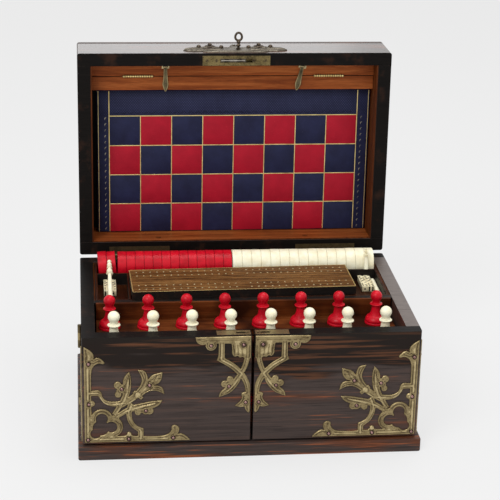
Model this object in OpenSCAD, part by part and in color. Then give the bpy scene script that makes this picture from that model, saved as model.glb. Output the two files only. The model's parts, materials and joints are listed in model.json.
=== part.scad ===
// Games compendium box: a lidded box with two front doors, a lift-out tray of games and two chess sets.
// The origin is the centre of the plinth's underside. The lid is drawn standing open.

/* [Case] */
// Width over the sides
case_w = 330; // [312:2:350]
// Depth from the door fronts to the back
case_d = 220; // [216:1:236]
// Height of the rim above the foot
case_h = 128; // [124:1:140]
// Thickness of the outer boards
board_t = 13.5; // [12.5:0.25:14]
// Radius of the outer corners
corner_r = 2.6; // [1:0.2:4]
// Thickness of the mahogany linings
lining_t = 1.5; // [1:0.1:1.8]

/* [Plinth] */
// Height of the plinth
plinth_h = 13.8; // [10:0.2:16]
// How far the plinth stands out on each side
plinth_out = 4.4; // [3.4:0.2:7]
// Width of the plinth's rails
plinth_rail = 24; // [18:1:32]

/* [Doors] */
// Depth of the front compartment that the doors wrap round
return_d = 57; // [56:0.5:60]
// Gap between the two doors
door_gap = 2.8; // [1.5:0.1:4]
// Gap between the doors and the plinth
sill_gap = 2.2; // [1.4:0.1:3]
// Running gap at the door joints
joint_gap = 0.3; // [0.2:0.05:0.6]

/* [Lid] */
// Depth of the lid
lid_t = 57; // [55:1:66]
// Thickness of the lid's top panel
lid_skin = 9; // [7:0.5:10]
// Angle at which the lid stands open
lid_open = 91; // [90:0.5:95]
// Gap between the two rims when the lid is shut
lid_seat = 0.3; // [0.2:0.05:0.6]
// Depth of the retaining flap behind the rim
flap_deep = 20; // [19:0.5:21]
// Height of the retaining flap
flap_h = 14.5; // [12:0.5:17]
// Height of the fixed batten above the flap
batten_h = 15; // [13:0.5:17]

/* [Games board] */
// Depth of the board's face behind the rim
games_deep = 30; // [29:0.5:31]
// Thickness of each leaf
leaf_t = 8; // [5:0.5:8]
// Clearance between the board and the linings
games_clear = 2.9; // [1:0.1:5]

/* [Front compartment] */
// Front face of the mahogany behind the red men
rack_y = 86.5; // [85:0.5:90]
// Depth of the pawns' shelf below the rim
pawn_shelf_down = 18; // [17:0.5:22]
// Thickness of the shelves
shelf_t = 6; // [4:0.5:8]
// Height of the lower shelf above the foot
men_shelf_z = 22; // [19:0.5:24]
// Thickness of the partition behind the rack
partition_t = 6; // [4:0.5:8]
// Thickness of the rack's back board
rack_back_t = 3; // [2:0.5:4]

/* [Tray] */
// Depth of the tray's floor below the rim
tray_depth = 12.5; // [11.5:0.5:15]
// Thickness of the tray's floor
tray_floor_t = 3; // [2:0.5:4]
// Thickness of the tray's walls
tray_wall = 2.2; // [1.6:0.2:3]
// Clearance round the tray
tray_clear = 0.5; // [0.3:0.1:1]
// Width of each end well
well_w = 31; // [27:1:36]

/* [Games] */
// Radius of a draughtsman
draught_r = 15; // [13:0.25:15.5]
// Thickness of a red draughtsman
red_t = 9.2; // [8:0.1:9.4]
// Thickness of a white draughtsman
white_t = 10.05; // [9:0.05:10.1]
// Height of a pawn
pawn_h = 35.3; // [30:0.1:36]
// Radius of a pawn's base
pawn_r = 10.7; // [9:0.1:11]
// Height of the king
king_h = 65; // [56:1:70]
// Width of a die
die_w = 6.4; // [5:0.1:6.8]
// Thickness of a pack of cards
pack_t = 11.4; // [8:0.2:11.6]
// Length of the cribbage board
crib_l = 229; // [200:1:236]
// How much narrower the cribbage board is than the space in front of the draughts
crib_margin = 11; // [8:0.5:18]
// Thickness of the cribbage board
crib_t = 9; // [6:0.5:11]
// Diameter of a peg in its plain stretch
peg_d = 4.8; // [3.6:0.2:5]

/* [Brass] */
// Thickness of the applied mounts
mount_t = 1.2; // [0.8:0.1:1.6]
// Width of a corner mount
corner_w = 103; // [90:1:103]
// Width of a centre mount
centre_w = 54; // [46:1:56]
// Width of a side mount
side_w = 42; // [34:1:43]
// Width of the escutcheon
escutcheon_w = 110; // [90:1:120]
// Radius of a pin's head
pin_r = 1.4; // [1:0.1:1.8]
// Length of each lid hinge
lid_hinge_l = 65; // [45:1:75]
// Radius of the lid hinges' knuckles
lid_knuckle_r = 2.4; // [2:0.1:2.6]
// Length of each door hinge
door_hinge_l = 24; // [18:1:30]
// Radius of the door hinges' knuckles
door_knuckle_r = 2; // [1.7:0.1:2.2]
// Running clearance of a hinge pin
fit = 0.05; // [0.03:0.01:0.08]
// Turn of the lock's key at which its bolt is shot
key_throw = 90; // [60:5:120]

/* [Hidden] */
$fn = 48;

BLACK = "#241d1b";
MAHOGANY = "#7a3b1a";
BRASS = "#8f7b3e";
BONE = "#efe6c8";
RED = "#b3122a";
NAVY = "#26284b";
EBONY = "#181616";

// Clearances that are too small to see
slip = 0.3;
stack_gap = 0.1;
cut = 1;

// Faces of the case, measured from the door fronts
pawn_shelf_z = case_h - pawn_shelf_down;
tray_floor_z = case_h - tray_depth;
half_w = case_w/2;
side_in = half_w - board_t;
back_in = case_d - board_t;
lined_in = side_in - lining_t;
door_z = plinth_h + sill_gap;
door_top_h = case_h - door_z;
partition_y = rack_y + rack_back_t;
well_y = partition_y + partition_t;

// Lid hinge: its axis lies a little behind the back and above the rim
lid_axis_out = 1.6;
lid_axis_up = 1.4;
lid_leaf_t = 1.5;
lid_leaf_w = 8.5;
lid_hinge_x = half_w - board_t - 18 - lid_hinge_l/2;
lid_pin_r = 1;
lid_depth_in = lid_t - lid_skin;

// Door hinge: its axis lies in the joint, outside the side
door_axis_out = 1.4;
door_leaf_t = 1.2;
door_leaf_w = 10;
door_pin_r = 0.8;
door_hinge_z = [door_z + 8, case_h - 10 - door_hinge_l];
door_axis_x = half_w + door_axis_out;

// Board in the lid
games_w = 2*(lined_in - games_clear);
games_shift = 2;
games_v0 = board_t + lining_t + slip;
flap_top = back_in - batten_h;
flap_seam = 0.7;
flap_v1 = flap_top - flap_seam;
flap_v0 = flap_v1 - flap_h;
games_v1 = flap_v0 - 2.3;
games_gap = 0.2;
flap_t = 7;
batten_t = 8;

// Flap hinges and catches
flap_hinge_l = 32;
flap_hinge_x = 101.5;
flap_knuckle_r = 1.3;
flap_pin_r = 0.6;
flap_leaf_t = 0.6;
flap_leaf_gap = 0.05;
flap_leaf_w = 6.4;
flap_axis_out = 0.6;
flap_axis_v = flap_top - flap_seam/2;
catch_left_x = -72.5;
catch_right_x = 73;
catch_slant = 13;
catch_t = 0.8;
catch_pin_r = 0.5;
catch_knuckle_r = 1.2;
catch_axis_v = back_in - 5;
catch_axis_out = 1.7;
catch_tip_v = games_v1 + 0.6;
catch_l = catch_axis_v - catch_tip_v;
catch_head_w = 5;
lug_t = 1.1;

// Lock, in the lid's front wall
lock_x = 0.7;
lock_l = 71;
lock_plate_t = 1.6;
lock_plate_w = board_t - 3;
lock_body_l = 60;
lock_body_w = 7.4;
lock_body_deep = 26;
lock_v = back_in + 0.2 + lock_plate_w/2;
lock_front_t = 2.2;
slot_l = 34;
slot_w = 4;
slot_deep = 8;
bolt_l = 27;
bolt_clear = 0.15;
bolt_throw = 3;
key_x = 3.8;
key_deep = 14;
key_stem_r = 1.6;
key_hole_r = 3.4;
key_bit_l = 2.9;
key_bit_t = 1.2;
bow_r = 4.6;
bow_wire = 1.8;
bow_out = 14.6;

// Tray and its compartments
tray_x = lined_in - tray_clear;
tray_y0 = well_y + tray_clear;
tray_y1 = back_in - lining_t - tray_clear;
trough_x = tray_x - tray_wall;
trough_y1 = tray_y1 - tray_wall;
trough_y0 = trough_y1 - 2*draught_r - 2*slip;
draught_y = (trough_y0 + trough_y1)/2;
draught_tilt = 5;
well_x = trough_x - well_w;
well_y1 = trough_y0 - tray_wall;
set_size = 15;
bearer_w = 6;
bearer_h = 5;

// Men
men_pitch = side_in/4;
red_pitch = 1.01*men_pitch;
red_shift = -2.7;
white_shift = 0.7;
door_back_t = 1.5;
white_pawn_y = board_t + door_back_t + pawn_r + 0.5;
pawn_shelf_y1 = white_pawn_y + pawn_r + 2;
men_base_r = 12.4;
men_shelf_y1 = return_d - 2.5;
white_men_y = men_shelf_y1 - men_base_r - 1.2;
red_shelf_y0 = return_d - 0.5;
red_pawn_y = red_shelf_y0 + pawn_r + 1;
red_men_y = red_shelf_y0 + men_base_r + 2;
socket_deep = 1;
socket_clear = 0.4;
king_row = ["rook", "knight", "bishop", "king"];
queen_row = ["rook", "knight", "bishop", "queen"];

// The case's frame, with y measured back from the door fronts
module in_case() translate([0, -case_d/2, 0]) children();

// The open lid's frame, as seen from the front: x right, y up from the back's plane, z out of the rim
module in_lid() in_case()
    translate([0, case_d + lid_axis_out, case_h + lid_axis_up]) rotate([-lid_open, 0, 0])
    translate([0, -lid_axis_out, lid_seat - lid_axis_up]) rotate([180, 0, 0]) children();

// The door fronts' plane: x right, y up, z out
module on_front() in_case() rotate([90, 0, 0]) children();

// The left side's plane: x towards the front, y up, z out
module on_left() in_case() translate([-half_w, 0, 0]) rotate([90, 0, -90]) children();

module box(low, high) translate(low) cube(high - low);

// A board's outline with rounded corners where the flags are set, from the lower left, anticlockwise
module outline(low, high, round) difference() {
    translate(low) square(high - low);
    for (i = [0:3]) if (round[i]) {
        corner = [i == 0 || i == 3 ? low[0] : high[0], i < 2 ? low[1] : high[1]];
        inward = [i == 0 || i == 3 ? 1 : -1, i < 2 ? 1 : -1];
        translate(corner) difference() {
            translate([inward[0] > 0 ? -cut : -corner_r, inward[1] > 0 ? -cut : -corner_r])
                square(corner_r + cut);
            translate(corner_r*inward) circle(corner_r);
        }
    }
}

// Curved ribbon of metal along a quadratic curve, with a width that may swell and lobe like a leaf
function on_curve(a, b, c, t) = (1 - t)*(1 - t)*a + 2*t*(1 - t)*b + t*t*c;
function curve_side(a, b, c, t) =
    let(d = (1 - t)*(b - a) + t*(c - b)) [-d[1], d[0]]/norm(d);
function ribbon_half(t, w0, w1, swell, lobes) =
    (w0*(1 - t) + w1*t + swell*sin(180*t)*(lobes > 0 ? 1 - 0.3*abs(cos(180*lobes*t)) : 1))/2;
module ribbon(a, b, c, w0, w1, swell = 0, lobes = 0, steps = 8) {
    n = lobes > 0 ? 4*lobes : steps;
    sides = [for (s = [1, -1]) [for (i = [0:n]) let(t = s > 0 ? i/n : 1 - i/n)
        on_curve(a, b, c, t) + s*curve_side(a, b, c, t)*ribbon_half(t, w0, w1, swell, lobes)]];
    polygon(concat(sides[0], sides[1]));
}
// Smooth closed outline: each side's middle is joined by a curve that the corner pulls.
// A corner given twice stays sharp.
function arc_at(p, i, k) =
    let(n = len(p), a = (p[(i + n - 1)%n] + p[i])/2, b = p[i], c = (p[i] + p[(i + 1)%n])/2)
    [for (j = [0:k - 1]) on_curve(a, b, c, j/k)];
module outline_of(p, k = 3) polygon([for (i = [0:len(p) - 1])
    let(n = len(p), sharp = norm(p[i] - p[(i + 1)%n]) < 0.01 || norm(p[i] - p[(i + n - 1)%n]) < 0.01)
    each (sharp ? [p[i]] : arc_at(p, i, k))]);
module leaf(at, turn, length, width, lobes = 2) translate(at) rotate(turn)
    ribbon([0, 0], [length/2, 0], [length, 0], 1.2, 0.3, width, lobes);
module flower(at, r) translate(at) for (i = [0:2]) rotate(120*i + 90) translate([0.55*r, 0]) circle(0.62*r);

// Hinge parts: the axis lies along x, and the leaf reaches towards -y
module knuckles(length, r, bore_r, first, count = 5) {
    step = length/count;
    for (i = [first:2:count - 1]) translate([-length/2 + i*step + fit, 0, 0]) rotate([0, 90, 0])
        difference() {
            cylinder(r = r, h = step - 2*fit);
            translate([0, 0, -cut]) cylinder(r = bore_r, h = step + 2*cut);
        }
}
module knuckle_room(length, r, first, count = 5) {
    step = length/count;
    for (i = [first:2:count - 1]) translate([-length/2 + i*step - fit, 0, 0]) rotate([0, 90, 0])
        cylinder(r = r, h = step + 2*fit);
}
module hinge_leaf(length, r, pin, first, low, high, reach, count = 5) {
    knuckles(length, r, pin + fit, first, count);
    difference() {
        box([-length/2, -reach, low], [length/2, 0, high]);
        knuckle_room(length, r + slip, 1 - first, count);
        translate([-length/2 - cut, 0, 0]) rotate([0, 90, 0]) cylinder(r = pin + fit, h = length + 2*cut);
    }
}

// Plinth and carcass
rail_in = plinth_rail - plinth_out;
module plinth() color(BLACK) in_case() linear_extrude(plinth_h) difference() {
    outline([-half_w - plinth_out, -plinth_out], [half_w + plinth_out, case_d + plinth_out], [1, 1, 1, 1]);
    bottom_shape();
}
module bottom_shape() translate([-half_w + rail_in, rail_in]) square([case_w - 2*rail_in, case_d - 2*rail_in]);
module base_board() color(BLACK) in_case() linear_extrude(plinth_h) bottom_shape();

module side_board() color(BLACK) in_case() difference() {
    box([-half_w, return_d + joint_gap/2, plinth_h], [-side_in, back_in, case_h]);
    door_hinge_room(true);
}
module left_side() side_board();
module right_side() mirror([1, 0, 0]) side_board();

module back_panel() color(BLACK) in_case() difference() {
    translate([0, 0, plinth_h]) linear_extrude(case_h - plinth_h)
        outline([-half_w, back_in], [half_w, case_d], [0, 0, 1, 1]);
    for (s = [-1, 1]) translate([s*lid_hinge_x, case_d, case_h]) {
        box([-lid_hinge_l/2, -lid_leaf_w, -lid_leaf_t], [lid_hinge_l/2, cut, cut]);
        translate([-lid_hinge_l/2, lid_axis_out, lid_axis_up]) rotate([0, 90, 0])
            cylinder(r = lid_knuckle_r + slip, h = lid_hinge_l);
    }
}

module partition() color(BLACK) in_case()
    box([-side_in, partition_y, plinth_h], [side_in, well_y, case_h]);

module well_lining() color(MAHOGANY) in_case() {
    for (s = [0, 1]) mirror([s, 0, 0])
        box([-side_in, well_y, plinth_h], [-lined_in, back_in, case_h - 1]);
    box([-lined_in, back_in - lining_t, plinth_h], [lined_in, back_in, case_h - 1]);
}

module tray_bearers() color(MAHOGANY) in_case() {
    top = tray_floor_z - tray_floor_t;
    for (s = [0, 1]) mirror([s, 0, 0])
        box([-lined_in, well_y, top - bearer_h], [-lined_in + bearer_w, back_in - lining_t, top]);
}

// Fixed rack for the red men, and the racks in the doors
module socket(at, r) translate([at[0], at[1], at[2] - socket_deep])
    cylinder(r = r + socket_clear, h = socket_deep + cut);
function red_x(i) = red_shift + red_pitch*(i - 3.5);
function white_x(i) = -white_shift - men_pitch*(3.5 - i);
module red_rack() color(MAHOGANY) in_case() difference() {
    w = lined_in - slip;
    union() {
        box([-w, rack_y, plinth_h], [w, partition_y, case_h]);
        box([-w, red_shelf_y0, pawn_shelf_z - shelf_t], [w, rack_y, pawn_shelf_z]);
        box([-w, red_shelf_y0, plinth_h], [w, rack_y, men_shelf_z]);
    }
    for (i = [0:7]) {
        socket([red_x(i), red_pawn_y, pawn_shelf_z], pawn_r);
        socket([red_x(i), red_men_y, men_shelf_z], men_base_r);
    }
}
module door_rack() color(MAHOGANY) in_case() difference() {
    x0 = -side_in + slip;
    x1 = -door_gap/2 - 1;
    y0 = board_t;
    union() {
        box([x0, y0, door_z + slip], [x1, y0 + door_back_t, case_h - 2]);
        box([x0, y0, pawn_shelf_z - shelf_t], [x1, pawn_shelf_y1, pawn_shelf_z]);
        box([x0, y0, door_z + slip], [x1, men_shelf_y1, men_shelf_z]);
    }
    for (i = [0:3]) {
        socket([white_x(i), white_pawn_y, pawn_shelf_z], pawn_r);
        socket([white_x(i), white_men_y, men_shelf_z], men_base_r);
    }
}
module left_rack() door_rack();
module right_rack() mirror([1, 0, 0]) door_rack();

// Turned men: half profiles turned about the z axis
module turned(points) rotate_extrude() polygon(concat([[0, 0]], points, [[0, points[len(points) - 1][1]]]));
module pawn() {
    k = pawn_h/35.3;
    ball = 5.9*k;
    turned([[pawn_r, 0], [pawn_r, 2.2*k], [pawn_r - 0.9, 3.4*k], [pawn_r - 1.6, 5*k], [7.6, 7*k], [5.6, 10*k],
        [4.5, 14*k], [4.2, 18.6*k], [6, 19.2*k], [6.4, 20.5*k], [6, 21.8*k], [4, 22.6*k], [4, 25*k]]);
    translate([0, 0, pawn_h - ball]) sphere(ball);
}
module man_body(h, top_r) turned([[men_base_r, 0], [men_base_r, 3], [men_base_r - 1.2, 4.5], [men_base_r - 2.4, 7],
    [men_base_r - 4.6, 10], [6.4, 15], [5.2, h*0.4], [4.9, h*0.62], [7.6, h*0.64], [8, h*0.66], [7.6, h*0.68],
    [5.6, h*0.7], [top_r, h*0.82], [top_r, h*0.86]]);
module man(kind) {
    h = kind == "king" ? king_h : kind == "queen" ? 0.92*king_h : kind == "bishop" ? 0.8*king_h
        : kind == "knight" ? 0.74*king_h : 0.65*king_h;
    if (kind == "rook") {
        man_body(h, 8);
        difference() {
            translate([0, 0, h*0.84]) cylinder(r = 8.6, h = h*0.16);
            translate([0, 0, h*0.93]) cylinder(r = 6, h = h);
        }
    }
    if (kind == "knight") {
        man_body(h*0.75, 8);
        translate([0, 3.4, h*0.6]) rotate([90, 0, 0]) linear_extrude(6.8)
            polygon([[-7, 0], [-7.6, 6], [-5.5, 13], [-2, 17.5], [0.5, 19], [1.6, 17], [4, 15.4], [9, 10.4],
                [9.4, 7.6], [7, 6.6], [3.4, 9], [5.6, 4], [6.4, 0]]);
    }
    if (kind == "bishop") {
        man_body(h, 6);
        translate([0, 0, h*0.86]) sphere(6.4);
        translate([0, 0, h - 2.2]) sphere(2.2);
    }
    if (kind == "queen" || kind == "king") {
        man_body(h, 8.6);
        translate([0, 0, h*0.86]) cylinder(r1 = 6.5, r2 = 4, h = h*0.06);
        if (kind == "queen") translate([0, 0, h - 3.2]) sphere(3.2);
        if (kind == "king") {
            box([-1.4, -1.1, h*0.91], [1.4, 1.1, h]);
            box([-3.4, -1.1, h - 4.6], [3.4, 1.1, h - 2]);
        }
    }
}
module men_row(xs, y_pawn, y_man, kinds) {
    for (i = [0:len(xs) - 1]) {
        translate([xs[i], y_pawn, pawn_shelf_z - socket_deep]) pawn();
        translate([xs[i], y_man, men_shelf_z - socket_deep]) man(kinds[i]);
    }
}
module red_men() color(RED) in_case() men_row([for (i = [0:7]) red_x(i)], red_pawn_y, red_men_y,
    concat(queen_row, [for (i = [3:-1:0]) king_row[i]]));
module left_white_men() color(BONE) in_case()
    men_row([for (i = [0:3]) white_x(i)], white_pawn_y, white_men_y, queen_row);
module right_white_men() color(BONE) in_case()
    men_row([for (i = [0:3]) -white_x(i)], white_pawn_y, white_men_y, king_row);

// Door hinges: drawn for the left door, with the axis along z
module in_door_axis() translate([-door_axis_x, return_d, 0]) children();
module upright(z) translate([0, 0, z + door_hinge_l/2]) rotate([0, -90, 0]) children();
module door_leaf(fixed) for (z = door_hinge_z) in_door_axis() upright(z) {
    low = joint_gap/2;
    rotate([90, 0, 0]) mirror([0, 0, fixed ? 1 : 0])
        hinge_leaf(door_hinge_l, door_knuckle_r, door_pin_r, fixed ? 0 : 1, low, low + door_leaf_t,
            door_leaf_w + door_axis_out, 3);
}
module door_hinge_room(fixed) {
    deep = joint_gap/2 + door_leaf_t;
    for (z = door_hinge_z) in_door_axis() translate([0, 0, z]) {
        box([0, fixed ? 0 : -deep, 0], [door_leaf_w + door_axis_out, fixed ? deep : 0, door_hinge_l]);
        cylinder(r = door_knuckle_r + slip, h = door_hinge_l);
    }
}

// Doors: a front board and a side return, drawn for the left
module door_front() color(BLACK) in_case() difference() {
    translate([0, 0, door_z]) linear_extrude(door_top_h)
        outline([-half_w, 0], [-door_gap/2, board_t], [1, 0, 0, 0]);
    translate([-strike_x1, strike_y0, case_h - strike_t]) cube([strike_x1 - strike_x0, strike_w, cut + strike_t]);
}
module door_return() color(BLACK) in_case() difference() {
    box([-half_w, board_t, door_z], [-side_in, return_d - joint_gap/2, case_h]);
    door_hinge_room(false);
}
strike_x0 = door_gap/2 + 0.8;
strike_x1 = strike_x0 + 33;
strike_y0 = 1.6;
strike_w = board_t - 3;
strike_t = 1.2;
module strike() color(BRASS) in_case() difference() {
    box([-strike_x1, strike_y0, case_h - strike_t], [-strike_x0, strike_y0 + strike_w, case_h]);
    box([-strike_x0 - 14, strike_y0 + strike_w/2 - 2, case_h - strike_t - cut],
        [-strike_x0 - 2, strike_y0 + strike_w/2 + 2, case_h + cut]);
}
module left_door_front() door_front();
module right_door_front() mirror([1, 0, 0]) door_front();
module left_door_return() door_return();
module right_door_return() mirror([1, 0, 0]) door_return();
module left_strike_plate() strike();
module right_strike_plate() mirror([1, 0, 0]) strike();
module left_door_leaves() color(BRASS) in_case() door_leaf(false);
module right_door_leaves() mirror([1, 0, 0]) color(BRASS) in_case() door_leaf(false);

// Corner mount in the plane of the door front, with its origin at the mount's lower outer corner
corner_k = corner_w/103;
corner_in = 2.2;
corner_up = 1.4;
corner_pins = [[3.3, 3.4], [4.4, 41.6], [4.4, 84], [42.8, 3.4], [86, 3.6], [36.2, 57], [62.8, 60.4], [59.4, 33.4]];
// Upright bar with its finial, and the bottom bar with its own
module corner_bars() {
    outline_of([[0, 0], [0, 0], [0, 101.5], [0, 101.5], [5, 99], [9.4, 94.4], [9.8, 91], [9.4, 88.6], [9.4, 88.6],
        [12, 90.6], [16, 89.6], [20, 85], [20, 85], [19, 82.8], [14.6, 84.6], [9.4, 82], [6.9, 76], [6.9, 60],
        [6.9, 0], [6.9, 0]]);
    outline_of([[0, 0], [0, 0], [103, 0], [103, 0], [99.5, 4.4], [94.4, 8], [90.4, 7.4], [90.4, 7.4], [92.6, 11.6],
        [91, 16], [87, 17.4], [83.6, 15.4], [84.8, 12], [81, 7], [74, 5.4], [58, 5.4], [48, 6.7], [0, 6.7], [0, 6.7]]);
}
module corner_shape() scale(corner_k) {
    // The open trefoil is cut through its own ring and the bars' corner
    difference() {
        union() {
            corner_bars();
            circle_at([16.6, 25], 10.9);
            circle_at([26, 16.6], 11.2);
            square(20);
        }
        circle_at([16.6, 25.2], 5.6);
        circle_at([25.8, 16.4], 5.6);
        circle_at([10.6, 9.6], 4.9);
        circle_at([15.8, 15.6], 7.8);
    }
    outline_of([[6, 45.4], [9, 44.6], [11, 41.6], [9, 39], [6, 38], [3, 41.6]]);
    outline_of([[38, 6], [40.6, 7.6], [40.6, 10], [43, 11], [45.4, 10], [45.4, 7.6], [48, 6], [43, 3]]);
    // Strap from the upright to the stem
    outline_of([[3, 55.6], [3, 55.6], [13.8, 56.2], [13.8, 56.2], [17, 53.6], [17.2, 49], [20, 45.4], [25.6, 43.4],
        [34, 44], [38, 46], [42, 42], [34, 38.6], [26, 38.2], [19.6, 41], [15.6, 46], [13, 50], [13, 50],
        [3, 50.2], [3, 50.2]]);
    // Two stems from the trefoil, each with a leaf and a flower
    outline_of([[26.4, 30.6], [26.4, 30.6], [30.6, 28.6], [30.6, 28.6], [40, 43.4], [44, 51], [45.4, 60], [45.2, 69],
        [43.4, 75], [43.4, 75], [39.4, 71.4], [36.6, 65], [37.8, 59], [37.4, 52], [33.6, 43]]);
    flower_of([36.2, 57], [[-4, 3.8, 3.9], [-3.6, -6, 3.3], [0, 0, 4.6], [-2.4, -2.4, 3]]);
    outline_of([[29.6, 29.4], [29.6, 29.4], [33, 25.8], [33, 25.8], [42, 31.6], [50, 33.4], [60, 34], [67, 35.6],
        [73, 39], [75.6, 44], [75.6, 44], [63, 43], [54, 41], [47, 39.8], [38, 35.4]]);
    flower_of([59.4, 33.4], [[3.6, -0.6, 3.9], [-7.8, -1.8, 3.3], [0, 0, 4.6], [-3.6, 0.6, 3.2]]);
    // Stem, collar and tulip
    ribbon([34, 38.6], [42, 43.6], [50, 49.6], 5.4, 7);
    translate([51.7, 49.9]) rotate(-43) square([11.6, 3.8], center = true);
    outline_of([[48.4, 51.4], [50, 55], [53.6, 59.6], [55.6, 65], [54.4, 70.6], [51.4, 76.6], [51.4, 76.6], [58, 76],
        [61, 71], [61.4, 66.4], [61.4, 66.4], [65.4, 71.6], [75.4, 73.8], [75.4, 73.8], [75, 66], [71, 61],
        [65.6, 59.8], [65.6, 59.8], [72, 60], [76.4, 56.6], [77.4, 50], [77.4, 50], [71.4, 53.8], [65, 54.6],
        [59.6, 52.4], [56, 49], [53, 47]]);
    // Strap down to the bottom bar
    outline_of([[44, 43], [49, 39], [45.6, 33], [45.6, 28], [46.8, 22], [50.6, 16.8], [57.2, 14], [57.2, 14],
        [57.2, 2], [57.2, 2], [51.4, 2], [51.4, 2], [51.4, 11], [51.4, 11], [45, 15.6], [41, 23], [39.8, 32],
        [41, 39]]);
    square_at([26.4, 25], [7.2, 4]);
}
module flower_of(at, lobes) for (l = lobes) circle_at(at + [l[0], l[1]], l[2]);
module circle_at(at, r) translate(at) circle(r, $fn = 24);
module plate(pins) difference() {
    linear_extrude(mount_t) children();
    for (p = pins) translate([p[0], p[1], -cut]) cylinder(r = pin_shank_r + 0.05, h = mount_t + 2*cut);
}
pin_shank_r = 0.8;
module pins(at) for (p = at) translate([p[0], p[1], 0]) {
    cylinder(r = pin_shank_r, h = mount_t);
    translate([0, 0, mount_t]) rotate_extrude() intersection() {
        translate([0, 0.9 - pin_r]) circle(pin_r*1.02);
        square([pin_r, 0.9]);
    }
}
module at_corner() translate([-half_w + corner_in, door_z + corner_up, 0]) children();

// Centre mount, with its origin at the door's upper inner corner
centre_k = centre_w/54;
centre_pins = [[-38.8, -10], [-7.4, -9.6], [-20.9, -53.2], [-4.4, -70.6]];
module centre_shape() scale(centre_k) intersection() {
    union() {
        outline_of([[0, -1], [0, -1], [-54, -1.4], [-54, -1.4], [-53.4, -6.4], [-49, -9.8], [-44, -9], [-43, -7.6],
            [-34, -8.4], [0, -8.8], [0, -8.8]]);
        circle_at([-38.8, -10], 5.5);
        outline_of([[0, -8], [0, -8], [-19.6, -8], [-19.6, -8], [-18.4, -14], [-19, -19], [-16, -23], [-13, -21],
            [-11, -24], [-8, -22], [-5, -26], [0, -24], [0, -24]]);
        outline_of([[-25.6, -6], [-25.6, -6], [-31.6, -6], [-31.6, -6], [-31.6, -22], [-33.4, -25.8], [-33.4, -25.8],
            [-25, -30.6], [-17.6, -36], [-9, -45.6], [-5.2, -54], [-4.4, -64], [0.6, -64], [0, -56], [-0.4, -50.6],
            [-5.4, -40], [-15.4, -29.4], [-25.4, -23.4], [-25.4, -23.4]]);
        outline_of([[0, -19], [-1.6, -27], [-4, -36], [-9.4, -44.6], [-10.6, -50], [-18.6, -60.6], [-31, -65.4],
            [-31, -65.4], [-29.6, -58.6], [-23.4, -54.6], [-17, -46.4], [-11, -38], [-7.6, -30], [-6, -21]]);
        flower_of([-20.9, -53.2], [[-4.4, 2.2, 3.6], [0.9, 7.2, 3.4], [0, 0, 4.4], [-0.6, 3.4, 3.2]]);
        outline_of([[1, -61], [-5, -59.4], [-9.6, -61.6], [-7.6, -65], [-9.4, -69.6], [-15, -74.6], [-15, -74.6],
            [-9, -76.6], [-5.6, -75.6], [-5.6, -75.6], [-4.6, -79], [-1.6, -82.6], [-1.6, -82.6], [1, -80]]);
    }
    square_at([-60, -90], [60, 90]);
}
module square_at(at, size) translate(at) square(size);
module at_centre() translate([-door_gap/2 - 0.6, case_h, 0]) children();

// Side mount on the door's return, with its origin at the foot of the front corner
side_k = side_w/42;
side_pins = [[-3.6, 3.4], [-3.6, 42], [-3.6, 84], [-33, 3.4]];
module side_shape() scale(side_k) {
    mirror([1, 0]) outline_of([[0, 0], [0, 0], [0, 101.5], [0, 101.5], [5, 99], [9.4, 94.4], [9.8, 91], [9.4, 88.6],
        [9.4, 88.6], [12, 90.6], [16, 89.6], [20, 85], [20, 85], [19, 82.8], [14.6, 84.6], [9.4, 82], [6.9, 76],
        [6.9, 60], [6.9, 0], [6.9, 0]]);
    mirror([1, 0]) outline_of([[0, 0], [0, 0], [42, 0], [42, 0], [41, 5], [37.6, 9.4], [34, 8.6], [34, 8.6],
        [34.6, 13], [30, 17.6], [30, 17.6], [27, 14], [27.6, 8.6], [22, 6.7], [0, 6.7], [0, 6.7]]);
    ribbon([-4, 46], [-17, 44], [-18, 30], 4.6, 4.6);
    ribbon([-18, 31], [-18, 16], [-10, 4], 4.6, 4.6);
    flower_of([-19, 30], [[0, 0, 4.4], [-4, 3.4, 3.2], [-4, -3.4, 3.2]]);
}
module at_side() translate([-corner_in, door_z + corner_up, 0]) children();

module corner_mount() color(BRASS) on_front() at_corner() plate(corner_k*corner_pins) corner_shape();
module centre_mount() color(BRASS) on_front() at_centre() plate(centre_k*centre_pins) centre_shape();
module side_mount() color(BRASS) on_left() at_side() plate(side_k*side_pins) side_shape();
module mount_pins() color(BRASS) {
    on_front() at_corner() pins(corner_k*corner_pins);
    on_front() at_centre() pins(centre_k*centre_pins);
    on_left() at_side() pins(side_k*side_pins);
}
module left_corner_mount() corner_mount();
module right_corner_mount() mirror([1, 0, 0]) corner_mount();
module left_centre_mount() centre_mount();
module right_centre_mount() mirror([1, 0, 0]) centre_mount();
module left_side_mount() side_mount();
module right_side_mount() mirror([1, 0, 0]) side_mount();
module left_mount_pins() mount_pins();
module right_mount_pins() mirror([1, 0, 0]) mount_pins();

// Fixed halves of the hinges, and their pins
module case_hinge_leaves() color(BRASS) in_case() {
    for (s = [-1, 1]) translate([s*lid_hinge_x, case_d + lid_axis_out, case_h + lid_axis_up])
        hinge_leaf(lid_hinge_l, lid_knuckle_r, lid_pin_r, 0, -lid_axis_up - lid_leaf_t, -lid_axis_up,
            lid_leaf_w + lid_axis_out);
    for (s = [0, 1]) mirror([s, 0, 0]) door_leaf(true);
}
module case_hinge_pins() color(BRASS) in_case() {
    for (s = [-1, 1]) translate([s*lid_hinge_x - lid_hinge_l/2, case_d + lid_axis_out, case_h + lid_axis_up])
        rotate([0, 90, 0]) cylinder(r = lid_pin_r, h = lid_hinge_l);
    for (s = [0, 1]) mirror([s, 0, 0]) for (z = door_hinge_z) in_door_axis()
        translate([0, 0, z]) cylinder(r = door_pin_r, h = door_hinge_l);
}

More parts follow.
